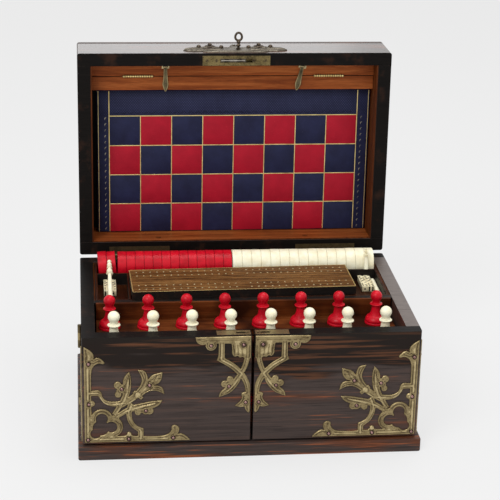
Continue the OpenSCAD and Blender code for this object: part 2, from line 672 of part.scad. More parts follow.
// Lid
module lid_wall_outline(low, high, round) color(BLACK) in_lid() translate([0, 0, -lid_depth_in])
    linear_extrude(lid_depth_in) outline(low, high, round);
module lid_top() color(BLACK) in_lid() translate([0, 0, -lid_t]) linear_extrude(lid_skin)
    outline([-half_w, 0], [half_w, case_d], [1, 1, 1, 1]);
module lid_front_wall() difference() {
    lid_wall_outline([-half_w, back_in], [half_w, case_d], [0, 0, 1, 1]);
    in_lid() {
        translate([lock_x - lock_l/2, lock_v - lock_plate_w/2, -lock_plate_t]) cube([lock_l, lock_plate_w, 2*lock_plate_t]);
        translate([lock_x - lock_body_l/2, lock_v - lock_body_w/2, -lock_body_deep])
            cube([lock_body_l, lock_body_w, lock_body_deep]);
        key_hole(key_hole_r, lock_v - lock_body_w/2);
    }
}
module lid_back_wall() difference() {
    lid_wall_outline([-half_w, 0], [half_w, board_t], [1, 1, 0, 0]);
    in_lid() for (s = [-1, 1]) translate([s*lid_hinge_x, 0, 0]) {
        box([-lid_hinge_l/2, -cut, -lid_leaf_t], [lid_hinge_l/2, lid_leaf_w, cut]);
        translate([-lid_hinge_l/2, -lid_axis_out, lid_seat - lid_axis_up]) rotate([0, 90, 0])
            cylinder(r = lid_knuckle_r + slip, h = lid_hinge_l);
    }
}
module lid_left_wall() lid_wall_outline([-half_w, board_t], [-side_in, back_in], [0, 0, 0, 0]);
module lid_right_wall() lid_wall_outline([side_in, board_t], [half_w, back_in], [0, 0, 0, 0]);
module lid_lining() color(MAHOGANY) in_lid() {
    for (s = [0, 1]) mirror([s, 0, 0])
        box([-side_in, board_t, -lid_depth_in], [-lined_in, back_in, -1]);
    box([-lined_in, board_t, -lid_depth_in], [lined_in, board_t + lining_t, -1]);
}
module lid_batten() color(MAHOGANY) in_lid() difference() {
    box([-lined_in, flap_top, -flap_deep - batten_t], [lined_in, back_in, -flap_deep]);
    flap_hinge_cuts(flap_top, flap_axis_v + flap_leaf_t + flap_leaf_gap);
}
module flap_hinge_cuts(from, to) for (s = [-1, 1]) translate([s*flap_hinge_x, 0, 0]) {
    low = min(from, to) - (from > to ? 0 : cut);
    high = max(from, to) + (from > to ? cut : 0);
    box([-flap_hinge_l/2, low, -flap_deep + flap_axis_out - flap_leaf_w],
        [flap_hinge_l/2, high, -flap_deep + cut]);
    translate([-flap_hinge_l/2, flap_axis_v, -flap_deep + flap_axis_out]) rotate([0, 90, 0])
        cylinder(r = flap_knuckle_r + 0.25, h = flap_hinge_l);
}
module lid_hinge_leaves() color(BRASS) in_lid() for (s = [-1, 1])
    translate([s*lid_hinge_x, -lid_axis_out, lid_seat - lid_axis_up]) mirror([0, 1, 0])
        hinge_leaf(lid_hinge_l, lid_knuckle_r, lid_pin_r, 1, lid_axis_up - lid_seat - lid_leaf_t,
            lid_axis_up - lid_seat, lid_leaf_w + lid_axis_out);

// Lock: a plate in the rim, a case behind it with a slot for the sliding bolt, and a hole for the key
module lock_case() color(BRASS) in_lid() difference() {
    union() {
        translate([lock_x - lock_l/2, lock_v - lock_plate_w/2, -lock_plate_t]) cube([lock_l, lock_plate_w, lock_plate_t]);
        translate([lock_x - lock_body_l/2, lock_v - lock_body_w/2, -lock_body_deep])
            cube([lock_body_l, lock_body_w, lock_body_deep - lock_plate_t/2]);
    }
    translate([lock_x - slot_l/2, lock_v - slot_w/2, -slot_deep]) cube([slot_l, slot_w, slot_deep + cut]);
    key_hole(key_stem_r + fit, lock_v - lock_body_w/2 + 1);
    translate([key_x, lock_v + lock_body_w/2 - lock_front_t, -key_deep]) rotate([90, 0, 0])
        cylinder(r = key_hole_r, h = lock_body_w - lock_front_t - 1);
    translate([key_x - key_bit_t/2 - slip, lock_v, -key_deep - key_bit_l - slip])
        cube([key_bit_t + 2*slip, lock_body_w, key_bit_l + slip - key_stem_r/2]);
}
module key_hole(r, v) translate([key_x, case_d + cut, -key_deep]) rotate([90, 0, 0]) cylinder(r = r, h = case_d + cut - v);
module lock_bolt() color(BRASS) in_lid() difference() {
    translate([lock_x - slot_l/2 + bolt_clear, lock_v - slot_w/2 + bolt_clear, bolt_clear - slot_deep])
        cube([bolt_l, slot_w - 2*bolt_clear, slot_deep - 0.8]);
    for (s = [0.25, 0.75]) translate([lock_x - slot_l/2 + s*bolt_l - 2.5, lock_v - slot_w, -2.6]) cube([5, 2*slot_w, 3.6]);
}
module key() color("#4a4238") in_lid() translate([key_x, 0, -key_deep]) {
    v0 = lock_v - lock_body_w/2 + 1.4;
    stem_v = case_d + bow_out - bow_r + bow_wire/2;
    translate([0, stem_v, 0]) rotate([90, 0, 0]) cylinder(r = key_stem_r, h = stem_v - v0);
    for (h = [1.6, 4.6]) translate([0, case_d + h + 1.4, 0]) rotate([90, 0, 0]) cylinder(r = key_stem_r + 0.7, h = 1.4);
    translate([-key_bit_l, v0 + 0.4, -key_bit_t/2]) cube([key_bit_l, 3, key_bit_t]);
    translate([0, case_d + bow_out, -bow_wire/2]) linear_extrude(bow_wire) difference() {
        circle(bow_r);
        circle(bow_r - bow_wire);
    }
}

// Pierced escutcheon on the lid's front, in a plane with x right and y away from the rim
escutcheon_k = escutcheon_w/110;
escutcheon_pins = [[-38, 24], [-26, 29], [-14.4, 21.4], [14.4, 21.4], [26, 29], [38, 24]];
module on_lid_front() in_lid() translate([lock_x, case_d, 0]) rotate([-90, 0, 0]) children();
module escutcheon_shape() difference() {
    scale(escutcheon_k) for (s = [0, 1]) mirror([s, 0, 0]) {
        square_at([-0.1, 4], [16, 20]);
        ribbon([0, 24], [6, 32], [0, 38], 6, 1);
        ribbon([14, 8], [26, 2], [34, 9], 5, 4.4);
        ribbon([14, 20], [26, 32], [36, 23], 5.4, 4.4);
        leaf([33, 10], 8, 22, 7.6, 3);
        leaf([34, 23], -14, 20, 7, 2);
        flower([26, 29], 5.6);
        flower([38, 24], 4.6);
        ribbon([15, 14], [27, 15.5], [40, 15], 4, 3);
    }
    translate([key_x - lock_x, key_deep]) circle(key_stem_r + slip);
    translate([key_x - lock_x - key_bit_t/2 - slip, key_deep]) square([key_bit_t + 2*slip, key_bit_l + slip]);
}
module escutcheon() color(BRASS) on_lid_front() {
    plate([]) escutcheon_shape();
    for (p = escutcheon_k*escutcheon_pins) translate([p[0], p[1], mount_t - 0.2]) cylinder(r1 = pin_r + 0.3, r2 = pin_r - 0.4, h = 1.3);
}

// Small parts inside the lid
module lid_small_pins() color(BRASS) in_lid() {
    for (s = [-1, 1]) translate([s*flap_hinge_x - flap_hinge_l/2, flap_axis_v, flap_axis_out - flap_deep])
        rotate([0, 90, 0]) cylinder(r = flap_pin_r, h = flap_hinge_l);
    at_catches() translate([-catch_head_w/2 - lug_t - slip, 0, 0]) rotate([0, 90, 0])
        cylinder(r = catch_pin_r, h = catch_head_w + 2*lug_t + 2*slip);
}
module at_catches() {
    at_catch(catch_left_x, 0) children();
    at_catch(catch_right_x, -catch_slant) children();
}
module at_catch(x, turn) translate([x, catch_axis_v, catch_axis_out - flap_deep]) rotate([0, 0, turn]) children();
module flap_leaf(first, side) color(BRASS) in_lid() for (s = [-1, 1])
    translate([s*flap_hinge_x, flap_axis_v, flap_axis_out - flap_deep]) rotate([90, 0, 0]) mirror([0, 0, side])
        hinge_leaf(flap_hinge_l, flap_knuckle_r, flap_pin_r, first, flap_leaf_gap, flap_leaf_gap + flap_leaf_t, flap_leaf_w);
module flap_fixed_leaves() flap_leaf(0, 1);
module flap_leaves() flap_leaf(1, 0);
module catch_brackets() color(BRASS) in_lid() at_catches() {
    w = catch_head_w/2 + slip;
    box([-w - lug_t, -2.2, -catch_axis_out], [w + lug_t, 3, 0.4 - catch_axis_out]);
    for (s = [0, 1]) mirror([s, 0, 0]) difference() {
        box([w, -1.3, -catch_axis_out], [w + lug_t, 1.6, 1]);
        rotate([0, 90, 0]) cylinder(r = catch_pin_r + fit, h = w + lug_t + cut);
    }
}
module catch_leaf() {
    difference() {
        union() {
            translate([-catch_head_w/2, 0, 0]) rotate([0, 90, 0]) cylinder(r = catch_knuckle_r, h = catch_head_w);
            translate([0, 0, -catch_axis_out + 0.75]) linear_extrude(catch_t) {
                translate([-catch_head_w/2, -4]) square([catch_head_w, 4]);
                ribbon([0, -2], [0, -catch_l/2], [0, -catch_l], 4.2, 0.5, 4.6);
            }
        }
        translate([-catch_head_w, 0, 0]) rotate([0, 90, 0]) cylinder(r = catch_pin_r + fit, h = 2*catch_head_w);
    }
}
module catch_left() color(BRASS) in_lid() at_catch(catch_left_x, 0) catch_leaf();
module catch_right() color(BRASS) in_lid() at_catch(catch_right_x, -catch_slant) catch_leaf();
module retaining_flap() color(MAHOGANY) in_lid() difference() {
    w = lined_in - slip;
    box([-w, flap_v0, -flap_deep - flap_t], [w, flap_v1, -flap_deep]);
    flap_hinge_cuts(flap_v1, flap_axis_v - flap_leaf_t - flap_leaf_gap);
}

// Folding games board, shut, in the lid
module board_leaf(deep) color(NAVY) in_lid()
    translate([games_shift, 0, 0]) box([-games_w/2, games_v0, -deep - leaf_t], [games_w/2, games_v1, -deep]);
module board_front_leaf() board_leaf(games_deep);
module board_back_leaf() board_leaf(games_deep + leaf_t + games_gap);

// Lift-out tray: a trough for the draughts, a well at each end and one between them
module tray() color(EBONY) in_case() difference() {
    box([-tray_x, tray_y0, tray_floor_z - tray_floor_t], [tray_x, tray_y1, case_h]);
    box([-trough_x, trough_y0, tray_floor_z], [trough_x, trough_y1, case_h + cut]);
    for (s = [0, 1]) mirror([s, 0, 0])
        box([-trough_x, tray_y0 + tray_wall, tray_floor_z], [-well_x, well_y1, case_h + cut]);
    box([-well_x + tray_wall, tray_y0 + tray_wall, tray_floor_z], [well_x - tray_wall, well_y1, case_h + cut]);
}
module draughtsman(t) translate([0, 0, -t/2]) rotate_extrude()
    polygon([[0, 0], [draught_r - 0.7, 0], [draught_r, 0.7], [draught_r, t - 0.7], [draught_r - 0.7, t], [0, t]]);
module on_edge(x, tilt) translate([x, draught_y, tray_floor_z + stack_gap + draught_r*cos(tilt) + red_t/2*sin(abs(tilt))])
    rotate([0, 90 + tilt, 0]) children();
lean = draught_r*sin(draught_tilt);
white_share = 0.515;
white_count = min(set_size, floor(2*white_share*trough_x/(white_t + stack_gap/2)));
white_x0 = trough_x - stack_gap - white_count*(white_t + stack_gap/2);
tilted_pitch = red_t/cos(draught_tilt) + stack_gap;
tilted_x = -trough_x + lean + red_t*cos(draught_tilt)/2 + 2*stack_gap;
upright_x0 = tilted_x + tilted_pitch + lean + red_t*cos(draught_tilt)/2 + 2*stack_gap;
red_count = min(set_size, 2 + floor((white_x0 - upright_x0)/(red_t + stack_gap)));
module red_draughts() color(RED) in_case() {
    for (i = [0, 1]) on_edge(tilted_x + i*tilted_pitch, -draught_tilt) draughtsman(red_t);
    for (i = [0:red_count - 3]) on_edge(upright_x0 + (i + 0.5)*(red_t + stack_gap), 0) draughtsman(red_t);
}
module white_draughts() color(BONE) in_case() for (i = [0:white_count - 1])
    on_edge(white_x0 + (i + 0.5)*(white_t + stack_gap/2), 0) draughtsman(white_t);

// Dice in two columns in each end well
die_rows = 5;
dice_x = [-trough_x + 6.4, trough_x - peg_d - 2*slip - 2*die_w - stack_gap];
module dice() color(BONE) in_case() for (x0 = dice_x) for (c = [0, 1]) for (r = [1:die_rows])
    translate([x0 + c*(die_w + stack_gap), well_y1 - r*(die_w + stack_gap), tray_floor_z]) cube(die_w);

// Turned pegs: one leans over the left dice, one lies beside the right dice, one leans on the draughts
peg_l = 56;
short_peg_l = 22;
module peg(l, rings) rotate_extrude() {
    r = peg_d/2;
    polygon(rings ? [[0, 0], [r*0.85, 0], [r, 1], [r*0.9, l*0.7], [r*1.15, l*0.72], [r*1.15, l*0.76], [r*0.7, l*0.78],
        [r*1.1, l*0.82], [r*1.1, l*0.86], [r*0.65, l*0.89], [r*0.9, l*0.93], [r*0.5, l], [0, l]]
        : [[0, 0], [r*0.8, 0], [r, 1], [r, l - 2], [r*0.6, l], [0, l]]);
}
dice_y0 = well_y1 - die_rows*(die_w + stack_gap);
lean_angle = 24.5;
module pegs() color(BONE) in_case() {
    lift = peg_d/2 + 0.25;
    translate([dice_x[0] + die_w, dice_y0 - lift*sin(lean_angle), tray_floor_z + die_w + lift*cos(lean_angle)])
        rotate([lean_angle - 90, 0, 0]) translate([0, 0, -14]) peg(peg_l, true);
    translate([trough_x - peg_d/2 - slip, well_y1 - plain_peg_l - 4, tray_floor_z + peg_d/2 + stack_gap])
        rotate([-90, 0, 0]) peg(plain_peg_l, false);
    translate([short_peg_x, well_y1 - peg_d*0.32, case_h + peg_d*0.22])
        rotate([short_peg_angle - 90, 0, 0]) peg(short_peg_l, true);
}
short_peg_angle = 73;
plain_peg_l = 45;
short_peg_x = trough_x - 9.3;

// Cribbage board lying on the tray, a little askew
crib_turn = 1.6;
crib_x = 0.6;
crib_w = well_y1 - tray_y0 - crib_margin;
crib_y = (tray_y0 + well_y1)/2 - 5;
peg_rows = [-0.38, -0.22, 0.22, 0.38];
holes_a_row = 30;
hole_r = 0.9;
module cribbage_board() color(MAHOGANY) in_case() translate([crib_x, crib_y, case_h]) rotate([0, 0, crib_turn]) {
    translate([-crib_l/2, -crib_w/2, 0]) cube([crib_l, crib_w, crib_t - 4]);
    translate([0, 0, crib_t - 4]) linear_extrude(4) difference() {
        square([crib_l, crib_w], center = true);
        for (r = peg_rows) for (i = [0:holes_a_row - 1])
            translate([(i - holes_a_row/2 + 0.5)*crib_l*0.031 + sign(i - holes_a_row/2 + 0.5)*crib_l*0.018, r*crib_w])
                circle(hole_r, $fn = 16);
    }
}

// Two packs of cards in the middle well
card_clear = 4;
card_w = well_y1 - tray_y0 - tray_wall - 2*card_clear;
card_l = well_x - tray_wall - 6.5*card_clear;
module card_packs() color("#e9e2cf") in_case() for (s = [-1, 1])
    translate([s*(card_l/2 + 2*card_clear) - card_l/2, tray_y0 + tray_wall + card_clear, tray_floor_z]) cube([card_l, card_w, pack_t]);

plinth();
base_board();
left_side();
right_side();
back_panel();
partition();
well_lining();
tray_bearers();
red_rack();
red_men();
case_hinge_leaves();
case_hinge_pins();
left_door_front();
left_door_return();
left_rack();
left_corner_mount();
left_centre_mount();
left_side_mount();
left_mount_pins();
left_strike_plate();
left_door_leaves();
left_white_men();
right_door_front();
right_door_return();
right_rack();
right_corner_mount();
right_centre_mount();
right_side_mount();
right_mount_pins();
right_strike_plate();
right_door_leaves();
right_white_men();
lid_top();
lid_front_wall();
lid_back_wall();
lid_left_wall();
lid_right_wall();
lid_lining();
lid_batten();
lid_hinge_leaves();
lock_case();
escutcheon();
lid_small_pins();
flap_fixed_leaves();
catch_brackets();
retaining_flap();
flap_leaves();
catch_left();
catch_right();
board_front_leaf();
board_back_leaf();
key();
lock_bolt();
tray();
red_draughts();
white_draughts();
dice();
pegs();
cribbage_board();
card_packs();
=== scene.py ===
"""Games compendium box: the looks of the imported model.

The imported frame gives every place. Shapes are written in millimetres in the part's own local frames
(the case, the open lid, the door fronts) and scaled to metres as they are made.
"""
import json
import math

import bmesh
import bpy
import numpy as np
from mathutils import Matrix, Vector


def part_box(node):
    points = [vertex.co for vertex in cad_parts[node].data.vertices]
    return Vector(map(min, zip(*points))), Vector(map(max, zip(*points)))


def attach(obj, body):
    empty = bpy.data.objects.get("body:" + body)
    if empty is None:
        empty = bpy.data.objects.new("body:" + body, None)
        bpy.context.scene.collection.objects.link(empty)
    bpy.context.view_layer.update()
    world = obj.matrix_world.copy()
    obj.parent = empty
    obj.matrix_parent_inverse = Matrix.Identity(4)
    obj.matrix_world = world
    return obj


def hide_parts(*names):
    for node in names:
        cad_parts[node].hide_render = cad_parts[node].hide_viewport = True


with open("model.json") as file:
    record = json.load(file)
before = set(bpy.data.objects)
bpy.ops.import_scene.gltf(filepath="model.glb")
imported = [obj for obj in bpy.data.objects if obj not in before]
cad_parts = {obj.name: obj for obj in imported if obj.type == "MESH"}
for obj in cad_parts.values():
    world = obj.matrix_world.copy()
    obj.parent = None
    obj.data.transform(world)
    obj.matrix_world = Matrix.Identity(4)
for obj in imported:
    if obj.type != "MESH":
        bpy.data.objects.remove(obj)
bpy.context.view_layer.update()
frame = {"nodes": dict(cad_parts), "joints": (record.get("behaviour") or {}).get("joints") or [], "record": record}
NODES = frame["nodes"]
JOINTS = {joint["name"]: joint for joint in frame["joints"]}


# Local frames, in millimetres
def shift(x, y, z):
    return Matrix.Translation((x, y, z))


def turn(axis, degrees):
    return Matrix.Rotation(math.radians(degrees), 4, axis)


def box_mm(node):
    low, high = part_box(node)
    return low * 1000, high * 1000


def in_mm(vertices, place):
    back = place.inverted()
    return np.array([back @ (v.co * 1000) for v in vertices])


def local_box(node, place):
    """The lowest and highest corners of a CAD node in a local frame."""
    points = in_mm(NODES[node].data.vertices, place)
    return points.min(0), points.max(0)


DOOR_LOW, DOOR_HIGH = box_mm("left_door_front")
HALF_W = -DOOR_LOW.x
FRONT_Y = DOOR_LOW.y
RIM_Z = DOOR_HIGH.z
BACK_Y = box_mm("back_panel")[1].y
CASE_D = BACK_Y - FRONT_Y
LID_HINGE = Vector(JOINTS["lid_hinge"]["pos_m"]) * 1000
LID_OPEN = -JOINTS["lid_hinge"]["range_deg"][0]
LID_SEAT = 0.3
LINING_T = 1.5
SIDE_THIN = 0.7
AXIS_OUT = LID_HINGE.y - BACK_Y
AXIS_UP = LID_HINGE.z - RIM_Z

CASE = Matrix.Identity(4)
# x right, y up from the hinge side, z out of the rim
IN_LID = shift(*LID_HINGE) @ turn("X", -LID_OPEN) @ shift(0, -AXIS_OUT, LID_SEAT - AXIS_UP) @ turn("X", 180)
# x right, y up, z out of the doors
ON_FRONT = shift(0, FRONT_Y, 0) @ turn("X", 90)
# The side mounts are thinner than those in front
ON_LEFT = shift(-HALF_W, FRONT_Y, 0) @ turn("Z", -90) @ turn("X", 90) @ Matrix.Diagonal((1, 1, SIDE_THIN, 1))
SIDES = (("left", CASE), ("right", Matrix.Diagonal((-1, 1, 1, 1))))


# Materials
SOCKETS = {"metal": "Metallic", "coat": "Coat Weight", "coat_rough": "Coat Roughness",
           "specular": "Specular IOR Level"}


class Finish:
    """A node material on one Principled shader, with its textures in object space, in millimetres."""

    def __init__(self, name, **settings):
        self.material = bpy.data.materials.new(name)
        self.material.use_nodes = True
        self.tree = self.material.node_tree
        self.tree.nodes.clear()
        output = self.add("ShaderNodeOutputMaterial")
        self.shader = self.add("ShaderNodeBsdfPrincipled")
        self.tree.links.new(self.shader.outputs[0], output.inputs[0])
        self.place = self.add("ShaderNodeTexCoord").outputs["Object"]
        for name, value in settings.items():
            self.shader.inputs[SOCKETS[name]].default_value = value

    def add(self, kind, **settings):
        node = self.tree.nodes.new(kind)
        for key, value in settings.items():
            setattr(node, key, value)
        return node

    def give(self, socket, value):
        if isinstance(value, bpy.types.NodeSocket):
            self.tree.links.new(value, socket)
        else:
            socket.default_value = value

    def texture(self, kind, units, spin=0, inputs=(), **settings):
        """A texture in object space. Units says how many texture units a millimetre has, on all axes or on each."""
        spread = self.add("ShaderNodeMapping")
        scales = units if isinstance(units, list) else [units] * 3
        spread.inputs["Scale"].default_value = [1000 * scale for scale in scales]
        spread.inputs["Rotation"].default_value = (0, math.radians(spin), 0)
        self.give(spread.inputs["Vector"], self.place)
        node = self.add(kind, **settings)
        self.give(node.inputs["Vector"], spread.outputs[0])
        for name, value in (("Scale", 1), *inputs):
            node.inputs[name].default_value = value
        return node

    def noise(self, units, detail=3, rough=0.5, twist=0):
        inputs = (("Detail", detail), ("Roughness", rough), ("Distortion", twist))
        return self.texture("ShaderNodeTexNoise", units, inputs=inputs).outputs[0]

    def cells(self, units):
        return self.texture("ShaderNodeTexVoronoi", units).outputs["Distance"]

    def waves(self, units, spin=0, direction="X", twist=0):
        inputs = (("Detail", 2), ("Distortion", twist))
        return self.texture("ShaderNodeTexWave", units, spin, inputs, bands_direction=direction).outputs["Fac"]

    def ramp(self, factor, *stops):
        node = self.add("ShaderNodeValToRGB")
        self.give(node.inputs[0], factor)
        points = node.color_ramp.elements
        while len(points) < len(stops):
            points.new(0.5)
        for point, (where, colour) in zip(points, stops):
            point.position = where
            point.color = (*colour, 1) if isinstance(colour, tuple) else (colour, colour, colour, 1)
        return node.outputs[0]

    def mix(self, factor, first, second, blend="MIX"):
        node = self.add("ShaderNodeMix", data_type="RGBA", blend_type=blend)
        self.give(node.inputs[0], factor)
        for socket, value in ((node.inputs[6], first), (node.inputs[7], second)):
            self.give(socket, (*value, 1) if isinstance(value, tuple) else value)
        return node.outputs[2]

    def plus(self, first, second, how="ADD"):
        node = self.add("ShaderNodeMath", operation=how)
        self.give(node.inputs[0], first)
        self.give(node.inputs[1], second)
        return node.outputs[0]

    def times(self, first, second):
        return self.plus(first, second, "MULTIPLY")

    def weighed(self, *parts):
        """The sum of some values, each with its weight."""
        total = self.times(*parts[0])
        for part in parts[1:]:
            total = self.plus(total, self.times(*part))
        return total

    def done(self, base, rough, height=None, depth_mm=0, strength=1):
        """Gives the shader its colour and roughness, and a bump where there is a height."""
        self.give(self.shader.inputs["Base Color"], base)
        self.give(self.shader.inputs["Roughness"], rough)
        if height:
            node = self.add("ShaderNodeBump")
            node.inputs["Strength"].default_value = strength
            node.inputs["Distance"].default_value = depth_mm / 1000
            self.give(node.inputs["Height"], height)
            self.give(self.shader.inputs["Normal"], node.outputs[0])
        return self.material


def along(axis, fine, coarse):
    """Texture units per millimetre with the long grain along one axis."""
    return [coarse if letter == axis else fine for letter in "XYZ"]


def coromandel(name, axis, bold=0, band=None, **settings):
    """Very dark striped veneer with thin orange streaks. Band gives the heights in metres where a painted dark
    reflection starts across the top, where it is full, and where it ends in a black edge.
    """
    look = Finish(name, **{"specular": 0.13, **settings})
    cloud = look.noise(along(axis, 0.05, 0.007), detail=3, twist=0.5)
    stripe = look.noise(along(axis, 0.34, 0.011), detail=3, rough=0.55, twist=0.2)
    line = look.noise(along(axis, 1.3, 0.024), detail=2, twist=0.25)
    fibre = look.noise(along(axis, 4.2, 0.09), detail=2)
    colour = look.ramp(stripe, (0.36, (0.048, 0.034, 0.03)), (0.5, (0.061, 0.044, 0.039)),
                       (0.62, (0.074, 0.049, 0.041)))
    colour = look.mix(look.ramp(cloud, (0.53, 0), (0.66, 0.5 + bold)), colour, (0.115, 0.04, 0.02))
    peaks = look.weighed((stripe, 0.42), (line, 0.4), (cloud, 0.18))
    streaks = look.ramp(peaks, (0.592 - 0.1 * bold, 0), (0.63 - 0.1 * bold, 0.85))
    colour = look.mix(streaks, colour, (0.3, 0.088, 0.032))
    veins = look.ramp(line, (0.34, 1), (0.42, 0))
    colour = look.mix(look.times(veins, 0.6), colour, (0.013, 0.009, 0.008))
    colour = look.mix(0.3, colour, look.ramp(fibre, (0.35, 0.5), (0.65, 1)), "MULTIPLY")
    # Band: a painted dark reflection across the top of the doors, with orange clouds in it
    if band:
        split = look.add("ShaderNodeSeparateXYZ")
        look.give(split.inputs[0], look.place)
        height = split.outputs[2]
        wander = look.times(look.plus(cloud, 0.5, "SUBTRACT"), 0.12)
        top_reflection_reach = look.ramp(look.plus(height, wander), (band[0], 0), (band[1], 1))
        top_reflection_pattern = look.weighed((cloud, 0.5), (stripe, 0.5))
        top_reflection_paint = look.ramp(top_reflection_pattern, (0.5, (0.013, 0.008, 0.006)), (0.56, (0.085, 0.034, 0.016)))
        top_reflection_paint = look.mix(look.times(streaks, 0.5), top_reflection_paint, (0.22, 0.072, 0.03))
        colour = look.mix(top_reflection_reach, colour, top_reflection_paint)
        edge = look.ramp(height, (band[2] - 0.005, 0), (band[2] - 0.001, 1))
        colour = look.mix(edge, colour, (0.012, 0.009, 0.007))
    return look.done(colour, look.ramp(fibre, (0.3, 0.34), (0.75, 0.44)), fibre, 0.04, 0.3)


RED_BROWN = [(0.165, 0.036, 0.0075), (0.25, 0.062, 0.0135), (0.34, 0.098, 0.024)]
OLIVE_BROWN = [(0.08, 0.032, 0.009), (0.24, 0.104, 0.03), (0.46, 0.232, 0.074)]


def mahogany(name, axis, tone=1, shade=0, tones=RED_BROWN, fine=0):
    """Straight-grained wood with dark pores. Shade lets dark clouds run through it, and fine narrows its grain."""
    look = Finish(name, specular=0.1)
    band = look.noise(along(axis, 0.2 + 0.35 * fine, 0.012), detail=4, rough=0.6, twist=0.6)
    cloud = look.noise(0.022, detail=2)
    pores = look.noise(along(axis, 3.4, 0.1), detail=2, rough=0.6)
    low, middle, high = [tuple(tone * c for c in colour) for colour in tones]
    colour = look.ramp(band, (0.34, low), (0.5, middle), (0.66, high))
    shadow = (0.035 * tone, 0.008 * tone, 0.003 * tone)
    colour = look.mix(look.ramp(cloud, (0.4, shade), (0.58, 0)), colour, shadow)
    dotted = look.ramp(pores, (0.38 + 0.06 * fine, 0.45 - 0.3 * fine), (0.55, 1))
    colour = look.mix(0.5 + fine, colour, dotted, "MULTIPLY")
    return look.done(colour, look.ramp(pores, (0.3, 0.5), (0.7, 0.38)), pores, 0.06, 0.4)


def ebonised(name, pale=0.014, warm=1, specular=0.22):
    look = Finish(name, specular=specular)
    grain = look.noise([0.05, 1.6, 1.6], detail=3)
    rubbed = look.noise(0.05, detail=4, rough=0.65)
    colour = look.ramp(grain, (0.3, (0.5 * pale, 0.42 * pale, 0.38 * pale)), (0.7, (pale, 0.8 * pale, 0.7 * pale)))
    colour = look.mix(look.ramp(rubbed, (0.55, 0), (0.72, 0.5 * warm)), colour, (0.05, 0.022, 0.013))
    return look.done(colour, look.ramp(grain, (0.3, 0.46), (0.7, 0.36)), grain, 0.03, 0.35)


def brass(name, base, dark, rough=0.34, speckle=0):
    """Old lacquered brass, dulled in patches."""
    look = Finish(name, metal=0.9)
    patch = look.noise(0.09, detail=4, rough=0.6)
    fine = look.noise(1.3, detail=3, rough=0.65)
    worn = look.weighed((patch, 0.6), (fine, 0.4))
    colour = look.ramp(worn, (0.36, dark), (0.52, base), (0.7, tuple(min(1, c * 1.35) for c in base)))
    height = fine
    if speckle:
        dots = look.cells(0.55)
        colour = look.mix(look.ramp(dots, (0.16, speckle), (0.3, 0)), colour, dark)
        height = look.plus(fine, look.ramp(dots, (0.1, 0), (0.32, 1)))
    return look.done(colour, look.ramp(worn, (0.35, rough + 0.16), (0.65, rough - 0.04)), height, 0.05, 0.5)


def bone(name, pale, deep, gloss=0.3, specular=0.32):
    """Turned bone or ivory-like ware, stained or plain, with fine lengthwise flecks."""
    look = Finish(name, specular=specular)
    cloud = look.noise(0.12, detail=3)
    fleck = look.noise([2.2, 2.2, 0.35], detail=2, rough=0.6)
    tone = look.weighed((cloud, 0.7), (fleck, 0.3))
    colour = look.ramp(tone, (0.36, deep), (0.6, pale))
    return look.done(colour, look.ramp(fleck, (0.3, gloss + 0.1), (0.7, gloss)), fleck, 0.03, 0.3)


def leather(name, colour, dark, pebble=0.9, hatch=0):
    """Dyed leather: pebbled, a little faded, with an optional fine pressed hatching."""
    look = Finish(name, specular=0.14)
    fade = look.noise(0.05, detail=4, rough=0.6)
    grain = look.cells(pebble)
    wear = look.noise(0.5, detail=5, rough=0.7)
    tone = look.mix(look.ramp(fade, (0.35, 0), (0.68, 1)), dark, colour)
    tone = look.mix(look.ramp(wear, (0.62, 0), (0.78, 0.35)), tone, tuple(0.06 + 1.6 * c for c in colour))
    height = grain
    if hatch:
        lines = look.times(look.waves(0.16, 40), look.waves(0.16, -40))
        tone = look.mix(look.ramp(lines, (0, hatch), (0.4, 0)), tone, tuple(0.5 * c for c in colour))
        tone = look.mix(look.ramp(lines, (0.6, 0), (0.95, 0.8)), tone, tuple(2.4 * c + 0.01 for c in colour))
        height = look.plus(grain, lines)
    return look.done(tone, look.ramp(wear, (0.3, 0.44), (0.7, 0.58)), height, 0.12, 0.6)


def card_edges():
    look = Finish("card_edges")
    sheets = look.waves([0.02, 0.02, 0.9], direction="Z", twist=0.6)
    colour = look.ramp(sheets, (0.2, (0.55, 0.5, 0.4)), (0.6, (0.82, 0.77, 0.66)))
    return look.done(colour, 0.55, sheets, 0.06, 0.5)


def pip_ink():
    look = Finish("pip_ink")
    return look.done(look.ramp(look.noise(2), (0.3, (0.008, 0.008, 0.009)), (0.7, (0.02, 0.018, 0.018))), 0.4)


WOOD = {axis: coromandel("coromandel_" + axis.lower(), axis) for axis in "XYZ"}
# The doors' wood carries a painted dark reflection across its upper part
DOOR_REFLECTION_BAND = [(DOOR_LOW.z + part * (DOOR_HIGH.z - DOOR_LOW.z)) / 1000 for part in (0.58, 0.7, 1)]
DOOR_WOOD = coromandel("coromandel_doors", "X", 0.05, DOOR_REFLECTION_BAND)
FOOT_WOOD = coromandel("coromandel_foot", "X", 0.45)
POLISHED = coromandel("coromandel_polished", "X", coat=0.92, coat_rough=0.22)
EBONY = ebonised("ebonised_wood", specular=0.12)
# Black ebonised rims; the same black goes on the doors' meeting edges and the flap's top edge as painted shade in the
# gaps
RIM_BLACK_AND_GAP_SHADE = ebonised("rim_black_and_gap_shade", 0.009, specular=0.06)
# The right rim's top is painted pale, as a painted reflection
RIM_PAINTED_REFLECTION = ebonised("rim_painted_reflection", 0.17, 0.6, 0.45)
MAHOGANY = mahogany("mahogany", "X", 1.12)
# A lighter copy of mahogany for the batten, as painted light against the shade of the lid's rim
MAHOGANY_LIT_BATTEN = mahogany("mahogany_batten_painted_light", "X", 1.5)
# A darker copy for the racks inside the case, as painted shade
MAHOGANY_SHADED_RACK = mahogany("mahogany_rack_painted_shade", "X", 0.5, 0.9)
MAHOGANY_Y = mahogany("mahogany_sides", "Y", 0.3, 0.6)
